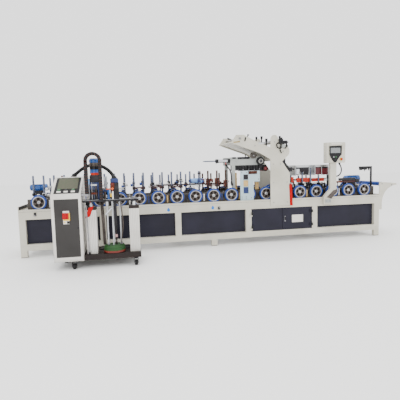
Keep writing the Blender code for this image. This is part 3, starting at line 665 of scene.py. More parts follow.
for name, finish in (
        ("bench_frame", CREAM), ("front_panel_left", NAVY), ("front_panel_right", NAVY), ("rear_panel", NAVY),
        ("door_left", NAVY), ("door_right", NAVY), ("station_plate_front", CREAM),
        ("station_plate_rear", CREAM), ("station_bridge", CREAM), ("head_plate", PALE_BLUE),
        ("head_beam", GREY_HAMMER), ("heater_hood_1", BRIGHT_SHEET), ("heater_hood_2", BRIGHT_SHEET),
        ("control_post", CREAM), ("outfeed_bracket", CREAM), ("unwind_shaft", GROUND_STEEL),
        ("glue_head", BLACK_STEEL), ("sensor_stand", BLACK_STEEL)):
    paint(bpy.data.objects[name], finish)


# drive wheels

def make_wheel():
    """One drive wheel about the origin, its axle along Y: tyre, five-hole hub, end bolt."""
    half, web_front, web_back = 0.020, -0.0115, 0.009
    tread, rim_r, web_r, boss_r = 0.110, 0.087, 0.0745, 0.024
    hole_circle, hole_r = 0.050, 0.0195
    tyre = turned([
        (-half, rim_r), (-half, 0.106), (-0.016, tread), (0.016, tread), (half, 0.106), (half, rim_r),
        (-half, rim_r)], (0, 0, 0), "Y", TYRE, 48)
    rim = turned([(-half, rim_r), (-half, 0.080), (-0.012, web_r), (0.012, web_r), (0.018, 0.079),
                  (0.018, rim_r), (-half, rim_r)], (0, 0, 0), "Y", HUB_ALLOY, 48)
    web = turned([(web_front, web_r), (web_front, boss_r), (web_back, boss_r), (web_back, web_r),
                  (web_front, web_r)], (0, 0, 0), "Y", CAST_WEB, 48)
    boss = turned([(-0.018, 0.0), (-0.018, 0.016), (web_front, boss_r), (web_back, boss_r), (0.019, 0.020),
                   (0.019, 0.0)], (0, 0, 0), "Y", HUB_ALLOY, 32)
    holes = [(hole_circle * cos(a), hole_circle * sin(a)) for a in (2 * pi * i / 5 for i in range(5))]
    cut(web, [crosswise(at, (-0.03, 0.03), hole_r, BLACK_STEEL, 0, 20) for at in holes])
    # dark brown plate behind the holes: painted shade, so that the holes show dark
    back = turned([(0.0092, boss_r), (0.0092, 0.074), (0.0112, 0.074), (0.0112, boss_r), (0.0092, boss_r)],
                  (0, 0, 0), "Y", DARK_BRONZE, 32)
    return join([tyre, rim, web, boss, back, hex_bolt((0, -0.018, 0), "-Y", 0.010, BLACK_STEEL)])


def dress_wheels():
    wheel = make_wheel()
    for number, (node, x) in enumerate(zip(WHEEL_NODES, WHEEL_X), 1):
        low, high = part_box(node)
        turn = Matrix.Rotation(number * 0.9, 4, "Y")
        front = copy_of(wheel, Matrix.Translation((x, low[1] + 0.020, WHEEL_Z)) @ turn)
        place = Matrix.Translation((x, high[1] - 0.020, WHEEL_Z)) @ turn
        back = copy_of(wheel, place @ Matrix.Rotation(pi, 4, "X"))
        shaft = crosswise((x, WHEEL_Z), (low[1] + 0.03, high[1] - 0.03), 0.0125, GROUND_STEEL, 0)
        piece("drive_wheels_%02d" % number, node, front, back, shaft, replaces=(node,))
    bpy.data.objects.remove(wheel, do_unlink=True)


# bearing bars, posts and clamps

def make_bearing():
    """Flange bearing on the face of a bar, its centre at the origin, facing -Y."""
    ring = turned([(-0.008, 0.0135), (-0.008, 0.022), (-0.005, 0.024), (-0.005, 0.033), (0.0, 0.035),
                   (0.0, 0.0135), (-0.008, 0.0135)], (0, 0, 0), "Y", GROUND_STEEL, 24)
    return join([ring] + [hex_bolt((dx, -0.005, dz), "-Y", 0.007) for dx, dz in ((-0.0285, 0), (0.0285, 0))])


def make_post(top, steel):
    """Clamp post from the bar's top, its end chamfered, with a lock ring at its foot."""
    post = upright((0, 0), (BAR_TOP - 0.01, top), POST_R, steel, 0.003, 20)
    ring = turned([(BAR_TOP, POST_R - 0.001), (BAR_TOP, 0.020), (BAR_TOP + 0.012, 0.020),
                   (BAR_TOP + 0.014, 0.018), (BAR_TOP + 0.014, POST_R - 0.001)], (0, 0, 0), "Z", BLACK_STEEL,
                   20)
    return join([post, ring])


def make_clamp(arm, wheel):
    """Clamp about a post at the origin: block, star knob in front, arm and press roller behind."""
    parts = [
        block((-0.024, 0.024), (-0.025, 0.026), (-0.018, 0.018), arm, 0.003),
        crosswise((0, 0), (-0.025, -0.040), 0.0045, GROUND_STEEL, 0, 12),
        turned([(-0.058, 0.0), (-0.058, 0.010), (-0.054, 0.014), (-0.044, 0.014), (-0.040, 0.009),
                (-0.040, 0.0)],
               (0, 0, 0), "Y", BLACK_NYLON, 10),
        block((-0.009, 0.009), (0.024, 0.112), (-0.006, 0.012), arm, 0.002),
        block((-0.014, 0.014), (0.096, 0.120), (-0.040, 0.016), arm, 0.003),
        turned([(-0.018, 0.0), (-0.018, 0.019), (-0.014, 0.022), (0.014, 0.022), (0.018, 0.019), (0.018, 0.0)],
               (0.034, 0.109, -0.026), "X", wheel, 24),
        lengthwise((-0.016, 0.056), (0.109, -0.026), 0.004, GROUND_STEEL, 0.001, 12)]
    return join(parts)


def make_press_arm(material, wheel):
    """Arm from post to post over a drive wheel at the origin: bar, two lock screws and a press roller."""
    y = BAR_FRONT + BAR_T / 2
    parts = [block((-POST_STEP - 0.026, POST_STEP + 0.026), (y - 0.034, y - 0.016), (0.923, 0.958), material,
                   0.003)]
    for x in (-POST_STEP, POST_STEP):
        parts += [
            block((x - 0.022, x + 0.022), (y - 0.0162, y + 0.024), (0.918, 0.964), BLACK_STEEL, 0.004),
            turned([(y - 0.052, 0.0), (y - 0.052, 0.010), (y - 0.036, 0.014), (y - 0.034, 0.0)],
                   (x, 0, 0.941), "Y", BLACK_STEEL, 12)]
    parts += [
        cut_plate([(-0.018, 0.940), (0.020, 0.940), (0.032, 0.905), (-0.012, 0.905)], "XZ", y - 0.050, 0.014,
                  wheel, 0.002),
        turned([(y - 0.080, 0.0), (y - 0.080, 0.017), (y - 0.075, 0.022), (y - 0.056, 0.022),
                (y - 0.051, 0.017), (y - 0.051, 0.0)], (0.008, 0, 0.9178), "Y", wheel, 24)]
    return join(parts)


def post_places():
    """X of the posts in front of the station, and of the three at the heaters."""
    every = [x + shift for x in WHEEL_X for shift in (-POST_STEP, POST_STEP)]
    before = [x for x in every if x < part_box("head_beam")[0][0] - 0.040]
    middle = min(range(len(every)), key=lambda i: abs(every[i] - 4 * BAY))
    return before, every[middle - 1:middle + 2]


def dress_bars():
    before, heat = post_places()
    bearing = make_bearing()
    for name, node, y0, top in (("front_bar", "front_post_row", BAR_FRONT, POST_TOP_FRONT),
                                ("rear_bar", "rear_post_row", BAR_BACK, POST_TOP_BACK)):
        low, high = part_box(node)
        rail = block((low[0], high[0]), (y0, y0 + BAR_T), (low[2], BAR_TOP), BAR_COAT, 0.003)
        cut(rail, [crosswise((x, WHEEL_Z), (y0 - 0.01, y0 + BAR_T + 0.01), 0.0132, BAR_COAT, 0, 16)
                   for x in WHEEL_X])
        parts = [rail]
        # clamp strips and set screws on the bar's face between the wheels
        for i, x in enumerate(WHEEL_X[:-1]):
            middle = x + PITCH / 2
            finish = (WHITE_NYLON, NAVY_ENAMEL, TAN_BOARD, BLACK_STEEL)[i % 4]
            parts += [
                block((middle - 0.012, middle + 0.010), (y0 - 0.006, y0), (0.700, 0.812), finish, 0.002),
                block((middle + 0.016, middle + 0.030), (y0 - 0.012, y0), (0.745, 0.800), BLACK_STEEL, 0.002)]
        for x in WHEEL_X:
            parts += [
                copy_of(bearing, Matrix.Translation((x, y0, WHEEL_Z))),
                copy_of(bearing, Matrix.Translation((x, y0 + BAR_T, WHEEL_Z)) @ Matrix.Rotation(pi, 4, "Z"))]
        first = 0.0 if name == "front_bar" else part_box("feed_motor")[1][0] + 0.028
        posts = {(height, steel): make_post(height, steel) for height in (top, HOOD_POST_TOP)
                 for steel in (POST_STEEL, POST_BROWN)}
        for x in before + heat:
            if x > first:
                height = HOOD_POST_TOP if x in (heat[0], heat[2]) else top
                steel = POST_BROWN if BROWN_FROM < x < STATION else POST_STEEL
                parts.append(copy_of(posts[height, steel], Matrix.Translation((x, y0 + BAR_T / 2, 0))))
        for post in posts.values():
            bpy.data.objects.remove(post, do_unlink=True)
        piece(name, "line_frame", *parts, replaces=(node,))
    bpy.data.objects.remove(bearing, do_unlink=True)


def dress_clamps():
    before, heat = post_places()
    past_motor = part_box("feed_motor")[1][0] + 0.028
    blue_wheels = ((1.30, 1.75), (2.25, 2.50))
    spindle_posts = (2.44, 2.70)
    fence_posts = (1.85, 3.05)
    kinds = [make_clamp(BLACK_STEEL, WHITE_NYLON), make_clamp(BRONZE, RED_SILICONE),
             make_clamp(BLACK_STEEL, TYRE), make_clamp(HUB_ALLOY, WHITE_NYLON)]
    arms = [make_press_arm(MAROON, WHITE_NYLON), make_press_arm(HUB_ALLOY, WHITE_NYLON)]
    front_y = BAR_FRONT + BAR_T / 2
    back_y = BAR_BACK + BAR_T / 2
    front = []
    back = []
    for i, x in enumerate(before):
        z = 1.000 + 0.016 * ((i * 5) % 4)
        if x > BROWN_FROM:
            front += [
                copy_of(kinds[1], Matrix.Translation((x, front_y, z - 0.010 * (i % 2)))),
                copy_of(kinds[1], Matrix.Translation((x, front_y, z - 0.055)))]
        elif i < 4 or i % 3 == 0:
            front.append(copy_of(kinds[3 if i % 2 else 0],
                                 Matrix.Translation((x, front_y, 0.900 if i < 4 else z))))
        if x > past_motor:
            blue = any(a < x < b for a, b in blue_wheels)
            kind = kinds[2] if blue else kinds[1 if x > BROWN_FROM else i % 2 * 3]
            back.append(copy_of(kind, Matrix.Translation((x, back_y, z - 0.035)) @ Matrix.Rotation(pi, 4, "Z")))
    for i, x in enumerate(WHEEL_X):
        if 0 < i and x + POST_STEP < before[-1] + 0.01:
            front.append(copy_of(arms[0 if i % 4 else 1], Matrix.Translation((x, 0, 0))))
    for i, x in enumerate(heat):
        front.append(copy_of(kinds[0], Matrix.Translation((x, front_y, 0.905))))
        back.append(copy_of(kinds[0], Matrix.Translation((x, back_y, 0.930)) @ Matrix.Rotation(pi, 4, "Z")))
    # small blue spindle on the front posts, its clamp plates behind it
    near = [x for x in before if spindle_posts[0] < x < spindle_posts[1]]
    spindle = turned([(2.480, 0.0), (2.480, 0.030), (2.488, 0.038), (2.560, 0.038), (2.562, 0.042),
                      (2.660, 0.042), (2.668, 0.036), (2.668, 0.0)], (0, front_y + 0.068, 1.020), "X",
                      SKY_ENAMEL, 32)
    cap = turned([(2.6682, 0.0), (2.6682, 0.036), (2.690, 0.034), (2.694, 0.026), (2.694, 0.0)],
                 (0, front_y + 0.068, 1.020), "X", BLUE_ENAMEL, 32)
    holders = [block((x - 0.020, x + 0.020), (front_y - 0.020, front_y + 0.032), (1.000, 1.040), NAVY_ENAMEL,
                     0.004)
               for x in near]
    piece("blue_spindle", "line_frame", spindle, cap, *holders)
    # bent wire guide hung from the last plain post
    x = [x for x in before if x < BROWN_FROM][-1]
    guide = bent_tube([(x + 0.022, front_y, 1.172), (x + 0.022, front_y, 1.100), (x + 0.024, front_y, 1.060),
                       (x + 0.034, front_y, 1.038), (x + 0.064, front_y, 1.034), (x + 0.110, front_y, 1.050)],
                      0.0065, BRONZE)
    holder = block((x - 0.020, x + 0.030), (front_y - 0.018, front_y + 0.018), (1.125, 1.150), BLACK_STEEL,
                   0.003)
    piece("wire_guide", "line_frame", guide, holder)
    # long guide fence over the wheels, on rods from post to post
    rods = [x for x in before if fence_posts[0] < x < fence_posts[1] and x not in near][::2]
    fence = [block((1.850, 3.086), (0.300, 0.328), (0.9512, 0.972), MAROON, 0.003),
             lengthwise((1.938, 2.265), (0.450, 0.9645), 0.0133, GROUND_STEEL, 0.002)]
    for i, x in enumerate(rods):
        fence += [
            crosswise((x, 0.945), (front_y, back_y), 0.0062, GROUND_STEEL, 0, 12),
            block((x - 0.016, x + 0.016), (0.290, 0.334), (0.9362, 0.9510), BLACK_STEEL, 0.002),
            block((x + 0.060, x + 0.100), (0.294, 0.334), (0.9722, 0.992 + 0.012 * (i % 2)),
                  (WHITE_NYLON, BLACK_NYLON, WHITE_NYLON)[i % 3], 0.004)]
    piece("guide_fence", "line_frame", *fence)
    piece("front_clamps", "line_frame", *front)
    piece("rear_clamps", "line_frame", *back)
    for spare in kinds + arms:
        bpy.data.objects.remove(spare, do_unlink=True)


# motors

def dress_motor(name, node, radius):
    """Squirrel-cage motor lying along X: finned housing, end bell, fan cowl, terminal box, foot."""
    low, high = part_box(node)
    x0, x1 = low[0], high[0]
    z = high[2] - radius
    y = BAR_BACK - 0.015
    body = radius - 0.009
    parts = [turned([(0.0, 0.0), (0.0, radius - 0.016), (0.012, radius - 0.004), (0.050, radius - 0.002),
                     (0.052, body), (x1 - x0 - 0.072, body), (x1 - x0 - 0.070, radius),
                     (x1 - x0 - 0.008, radius), (x1 - x0, radius - 0.010), (x1 - x0, 0.0)], (x0, y, z), "X",
                     BLUE_ENAMEL, 32)]
    fin = block((x0 + 0.054, x1 - 0.074), (-0.0015, 0.0015), (body - 0.003, radius - 0.001), BLUE_ENAMEL,
                0.0008)
    for i in range(24):
        place = Matrix.Translation((0, y, z)) @ Matrix.Rotation(2 * pi * i / 24, 4, "X")
        parts.append(copy_of(fin, place))
    bpy.data.objects.remove(fin, do_unlink=True)
    middle = (x0 + x1) / 2
    parts += [
        block((middle - 0.035, middle + 0.030), (y - radius - 0.006, y - radius + 0.020),
              (z - 0.028, z + 0.030), BLUE_ENAMEL, 0.004),
        block((x0 + 0.060, x1 - 0.060), (BAR_BACK, BAR_BACK + BAR_T), (BAR_TOP + SEAT, z - 0.010), BLACK_STEEL,
              0.003)]
    piece(name, "line_frame", *parts, replaces=(node,))


# coating station

def centre_of(node):
    return [(a + b) / 2 for a, b in zip(*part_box(node))]


def covered_roller(node, disc, radius, edge, material, sides):
    """Roller between the cheeks on its axle, which starts in the disc in front and ends at the node's back."""
    low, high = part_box(node)
    x, _, z = centre_of(node)
    r = 0.0125
    span = (0.160, 0.560)
    axle = crosswise((x, z), (low[1] + disc, high[1]), r, GROUND_STEEL, 0.002)
    roller = turned([(span[0], r), (span[0], radius - edge), (span[0] + edge, radius), (span[1] - edge, radius),
                     (span[1], radius - edge), (span[1], r)], (x, 0, z), "Y", material, sides)
    return axle, roller


def dress_nip_roller():
    x, _, z = centre_of("nip_roller")
    y0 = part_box("nip_roller")[0][1]
    disc = turned([(y0, 0.0), (y0, 0.018), (y0 + 0.004, 0.020), (y0 + 0.004, 0.024), (y0, 0.026), (y0, 0.060),
                   (y0 + 0.004, 0.064), (y0 + 0.041, 0.064), (y0 + 0.045, 0.060), (y0 + 0.045, 0.0)],
                  (x, 0, z), "Y", BLACK_NYLON, 48)
    ring = turned([(y0 - 0.0015, 0.029), (y0 - 0.0015, 0.034), (y0 + 0.001, 0.035), (y0 + 0.001, 0.028),
                   (y0 - 0.0015, 0.029)], (x, 0, z), "Y", WHITE_NYLON, 48)
    piece("nip_wheel_and_roller", "nip_roller", disc, ring,
          *covered_roller("nip_roller", 0.04, 0.050, 0.004, BLACK_RUBBER, 48),
          hex_bolt((x, y0, z), "-Y", 0.012), replaces=("nip_roller",))


def dress_red_roller():
    x, _, z = centre_of("red_roller")
    y0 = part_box("red_roller")[0][1]
    disc = turned([(y0 + 0.004, 0.0), (y0 + 0.004, 0.041), (y0 + 0.007, 0.044), (y0 + 0.032, 0.044),
                   (y0 + 0.035, 0.041), (y0 + 0.035, 0.0)], (x, 0, z), "Y", BLACK_NYLON, 40)
    face = turned([(y0, 0.0), (y0, 0.026), (y0 + 0.003, 0.029), (y0 + 0.0038, 0.029), (y0 + 0.0038, 0.0)],
                  (x, 0, z), "Y", RED_SILICONE, 40)
    piece("red_press_roller", "red_roller", disc, face,
          *covered_roller("red_roller", 0.03, 0.044, 0.003, RED_SILICONE, 40),
          hex_bolt((x, y0, z), "-Y", 0.010, BLACK_STEEL), replaces=("red_roller",))


def star_knob(centre, way, radius, material, neck=0.0):
    """Five-lobed hand knob on a stud, standing along the way from its seat."""
    a = Vector(centre)
    w = Vector(way).normalized()
    stud = bar(a, a + w * (radius * 1.2 + neck), radius * 0.55, BLACK_NYLON if neck else GROUND_STEEL, 0, 12)
    a = a + w * neck
    side = w.orthogonal().normalized()
    other = w.cross(side)
    top = radius * (2.2 if neck < 0.01 else 3.4)
    parts = [stud, bar(a + w * radius * 1.1, a + w * top, radius * 0.72, material, radius * 0.2, 20)]
    for i in range(5):
        spoke = side * cos(2 * pi * i / 5) + other * sin(2 * pi * i / 5)
        at = a + spoke * radius * 0.62
        parts.append(bar(at + w * radius * 1.15, at + w * (top - radius * 0.1), radius * 0.34, material,
                         radius * 0.12, 12))
    return join(parts)


def dress_station():
    y = PLATE_F[0][1]
    thick = PLATE_F[1][1] - y
    mid = y + thick / 2
    parts = []
    for x, z, way, radius, neck in (
            (3.363, 1.684, (0.35, 0, 1), 0.016, 0.004), (3.503, 1.611, (0.05, 0, 1), 0.018, 0.012),
            (3.590, 1.592, (0, 0, 1), 0.019, 0.034), (3.668, 1.541, (0, 0, 1), 0.021, 0.040),
            (3.100, 1.640, (-1, 0, 0.35), 0.014, 0.012)):
        parts.append(star_knob((x, mid, z), way, radius, BLACK_NYLON, neck))
    parts.append(block((3.535, 3.632), (mid - 0.010, mid + 0.060), (1.566, 1.592), HUB_ALLOY, 0.005))
    piece("arm_hand_screws", "line_frame", *parts)
    # brass wear strip on the tip of the arm, with its two screws
    strip = on_front((-0.052, 0.052), (-0.008, 0.008), y, 0.004, BRASS, 0.001)
    strip.data.transform(Matrix.Translation((3.186, 0, 1.606)) @ Matrix.Rotation(radians(-4), 4, "Y"))
    handle = cut_plate([(3.306, 1.618), (3.324, 1.616), (3.338, 1.670), (3.322, 1.682)], "XZ", y - 0.012,
                       0.0118, BLACK_NYLON, 0.002)
    lever = bar((3.070, mid, 1.652), (3.040, mid, 1.668), 0.008, BLACK_NYLON, 0.002, 12)
    piece("arm_tip_strip", "line_frame", strip, handle, lever)
    bolts = [hex_bolt((x, y, z), "-Y", 0.011) for x, z in (
        (3.780, 0.640), (4.005, 0.640), (3.780, 0.960), (4.005, 0.960), (3.780, 1.250), (3.900, 1.250))]
    piece("station_bolts", "line_frame", *bolts)
    # idle rollers between the two side plates
    idlers = ((3.800, 1.600, 0.030), (3.945, 1.450, 0.034), (3.480, 1.545, 0.020))
    for number, (x, z, r) in enumerate(idlers, 1):
        y0, y1 = PLATE_F[1][1] + 0.006, PLATE_B[0][1] - 0.006
        roller = turned([(y0, 0.0), (y0, 0.010), (y0 + 0.020, 0.010), (y0 + 0.020, r), (y1 - 0.020, r),
                         (y1 - 0.020, 0.010), (y1, 0.010), (y1, 0.0)], (x, 0, z), "Y", GROUND_STEEL, 32)
        ends = [crosswise((x, z), (PLATE_F[0][1] - 0.008, y0), 0.008, GROUND_STEEL, 0.001, 16),
                crosswise((x, z), (y1, PLATE_B[1][1] + 0.008), 0.008, GROUND_STEEL, 0.001, 16)]
        piece("film_roller_%d" % number, "line_frame", roller, *ends)
    # grey tension wheel above the front cheek, on a lug that stands on the cheek
    wheel = turned([(0.060, 0.012), (0.060, 0.020), (0.066, 0.024), (0.066, 0.038), (0.060, 0.042),
                    (0.060, 0.050), (0.090, 0.050), (0.090, 0.012), (0.060, 0.012)], (3.490, 0, 1.396), "Y",
                    BAR_COAT, 40)
    pin = crosswise((3.490, 1.396), (0.052, 0.150), 0.0115, GROUND_STEEL, 0.002)
    lug = cut_plate([(3.462, 1.3752), (3.518, 1.3752), (3.510, 1.414), (3.470, 1.414)], "XZ", 0.112, 0.016,
                    GREY_HAMMER, 0.002)
    piece("tension_wheel", "line_frame", wheel, pin, lug)
    # black stop bar along the cheek with its hand screw
    stop = [on_front((3.239, 3.436), (1.344, 1.378), BAR_FRONT, 0.014, BLACK_STEEL, 0.004),
            star_knob((3.367, BAR_FRONT - 0.007, 1.378), (0, 0, 1), 0.014, BLACK_NYLON, 0.004),
            on_front((3.150, 3.210), (1.352, 1.378), BAR_FRONT, 0.012, BLACK_STEEL, 0.004)]
    piece("cheek_stop_bar", "line_frame", *stop)
    # valve island with bent pipes on the shoulder of the side plate
    valve = [block((3.866, 3.938), (y - 0.026, y + 0.030), (1.562, 1.646), BLACK_NYLON, 0.006),
             upright((3.888, y), (1.646, 1.690), 0.017, BLACK_NYLON, 0.004),
             upright((3.922, y + 0.006), (1.646, 1.668), 0.012, BLACK_STEEL, 0.003),
             turned([(y - 0.022, 0.0), (y - 0.022, 0.026), (y - 0.018, 0.030), (y - TOUCH, 0.030),
                     (y - TOUCH, 0.0)],
                    (3.945, 0, 1.532), "Y", GREY_HAMMER, 32),
             block((3.938, 4.012), (y - 0.014, y + 0.026), (1.564, 1.618), BLACK_STEEL, 0.006),
             block((3.905, 3.965), (y - 0.034, y - 0.014), (1.575, 1.612), BLACK_NYLON, 0.006),
             lengthwise((4.012, 4.030), (y + 0.004, 1.590), 0.012, BLACK_NYLON, 0.003),
             bar((3.994, y - 0.004, 1.564), (4.016, y - 0.004, 1.522), 0.013, BLACK_NYLON, 0.003)]
    for points in (
            [(3.872, 1.584), (3.846, 1.584), (3.826, 1.556), (3.836, 1.512), (3.872, 1.492), (3.912, 1.506)],
            [(3.904, 1.580), (3.900, 1.540), (3.884, 1.490), (3.888, 1.452), (3.912, 1.420)],
            [(3.988, 1.572), (4.006, 1.545), (3.996, 1.508), (3.968, 1.492)]):
        valve.append(bent_tube([(x, y - 0.014, z) for x, z in points], 0.0085, BLACK_RUBBER))
    piece("air_valve", "line_frame", *valve)
    # jointed feeler arm behind the edge of the side plate, down towards the heaters
    back = y + thick + TOUCH
    arm = [block((3.918, 3.992), (back, back + 0.046), (1.262, 1.338), BLACK_STEEL, 0.010),
           upright((3.955, back + 0.023), (1.338, 1.356), 0.018, BLACK_NYLON, 0.004),
           bar((3.962, back + 0.028, 1.270), (4.046, back + 0.028, 1.172), 0.027, BLACK_NYLON, 0.005),
           block((3.905, 3.978), (back, back + 0.040), (1.190, 1.240), BLACK_STEEL, 0.008),
           block((4.018, 4.110), (back + 0.004, back + 0.046), (1.126, 1.194), BLACK_STEEL, 0.010),
           bar((4.100, back + 0.022, 1.166), (4.150, back + 0.022, 1.160), 0.012, BLACK_STEEL, 0.002),
           upright((4.050, back + 0.022), (1.136, 1.108), 0.014, BLACK_NYLON, 0.003)]
    piece("feeler_arm", "line_frame", *arm)
    # bolt that holds the red strap
    piece("strap_bolt", "line_frame", hex_bolt((4.046, y - 0.0032, 0.918), "-Y", 0.010, BLACK_STEEL))
    # guide shoes on the inner faces of the bars
    shoes = [block((3.180, 3.236), (0.152, 0.205), (0.857, 1.129), TAN_BOARD, 0.004),
             block((3.545, 3.600), (0.152, 0.200), (0.850, 0.965), TAN_BOARD, 0.004)]
    # slide blocks in the slot of the blue-grey plate, with its cross bars
    plate_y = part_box("head_plate")[0][1]
    slot = (3.2975, 3.3795)
    for z0, z1, finish in ((0.800, 0.902, NAVY_ENAMEL), (0.908, 1.010, TAN_BOARD), (1.016, 1.100, BLACK_STEEL)):
        shoes.append(block(slot, (plate_y + 0.0125, plate_y + 0.042), (z0, z1), finish, 0.003))
    for z in (0.905, 1.013):
        shoes.append(block(slot, (plate_y + 0.001, plate_y + 0.012), (z - 0.0045, z + 0.0045), PALE_BLUE,
                           0.001))
    piece("guide_shoes", "line_frame", *shoes)
    plate_parts = [hex_bolt((x, plate_y, z), "-Y", 0.010, BLACK_STEEL) for x, z in (
        (3.270, 0.745), (3.270, 0.715), (3.340, 0.745), (3.340, 0.715), (3.425, 0.730), (3.545, 1.020),
        (3.270, 1.130), (3.350, 1.130))]
    # vent grille of the plate
    plate_parts.append(on_front((3.378, 3.522), (1.104, 1.152), plate_y, 0.006, POST_BROWN, 0.002))
    for i in range(11):
        x = 3.386 + 0.0122 * i
        plate_parts.append(block((x, x + 0.005), (plate_y - 0.009, plate_y - 0.006), (1.108, 1.148), BRONZE,
                                 0.001))
    piece("head_plate_fittings", "line_frame", *plate_parts)
    # connectors, heater caps and adjusting screws along the front of the glue head
    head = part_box("glue_head")[0]
    lumps = [block((3.206, 3.2498), (0.116, 0.152), (1.180, 1.236), BLACK_NYLON, 0.006)]
    for i, (x0, x1, z0, z1, out) in enumerate((
            (3.262, 3.300, 1.172, 1.240, 0.020), (3.308, 3.332, 1.186, 1.232, 0.030),
            (3.340, 3.392, 1.166, 1.238, 0.016),
            (3.402, 3.430, 1.190, 1.240, 0.032), (3.440, 3.480, 1.170, 1.226, 0.022),
            (3.490, 3.520, 1.184, 1.240, 0.034),
            (3.530, 3.572, 1.168, 1.232, 0.018), (3.580, 3.606, 1.190, 1.236, 0.028))):
        lumps.append(on_front((x0, x1), (z0, z1), head[1], out, (BLACK_NYLON, BLACK_STEEL)[i % 2], 0.005))
        if i % 2:
            lumps.append(upright(((x0 + x1) / 2, head[1] - out + 0.010), (z0, z0 - 0.020), 0.007,
                                 GROUND_STEEL, 0.001, 12))
    piece("glue_head_fittings", "line_frame", *lumps)


def dress_cylinder():
    low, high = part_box("air_cylinder")
    _, y, z = centre_of("air_cylinder")
    r = (high[2] - low[2]) / 2
    bore = 0.0115
    nose_end, tail_start, bore_end = low[0] + 0.045, high[0] - 0.046, high[0] - 0.012
    barrel = turned([(nose_end, bore), (nose_end, r - 0.004), (tail_start, r - 0.004), (tail_start, bore),
                     (nose_end, bore)], (0, y, z), "X", HUB_ALLOY, 32)
    nose = turned([(low[0], bore), (low[0], r - 0.008), (low[0] + 0.006, r), (nose_end, r), (nose_end, bore),
                   (low[0], bore)], (0, y, z), "X", BLACK_NYLON, 32)
    tail = turned([(tail_start, bore), (tail_start, r), (high[0] - 0.003, r), (high[0], r - 0.003),
                   (high[0], 0.0), (bore_end, 0.0), (bore_end, bore), (tail_start, bore)], (0, y, z), "X",
                   BLACK_NYLON, 32)
    cover = block((high[0] - 0.120, high[0] - 0.047), (y - 0.018, y + 0.018), (z + r - 0.008, z + r - 0.001),
                  BLACK_NYLON, 0.002)
    port = upright((low[0] + 0.022, y), (z - r, z - r - 0.016), 0.007, HUB_ALLOY, 0.001, 12)
    piece("cylinder_barrel", "line_frame", barrel, nose, tail, cover, port, replaces=("air_cylinder",))
    start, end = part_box("piston_rod")[0][0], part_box("piston_rod")[1][0]
    rod = turned([(start, 0.0), (start, 0.005), (start + 0.030, 0.0090), (start + 0.040, 0.0096), (end, 0.0096),
                  (end, 0.0)], (0, y, z), "X", POST_STEEL, 24)
    piece("cylinder_rod", "piston_rod", rod, replaces=("piston_rod",))


# heaters on the taller posts

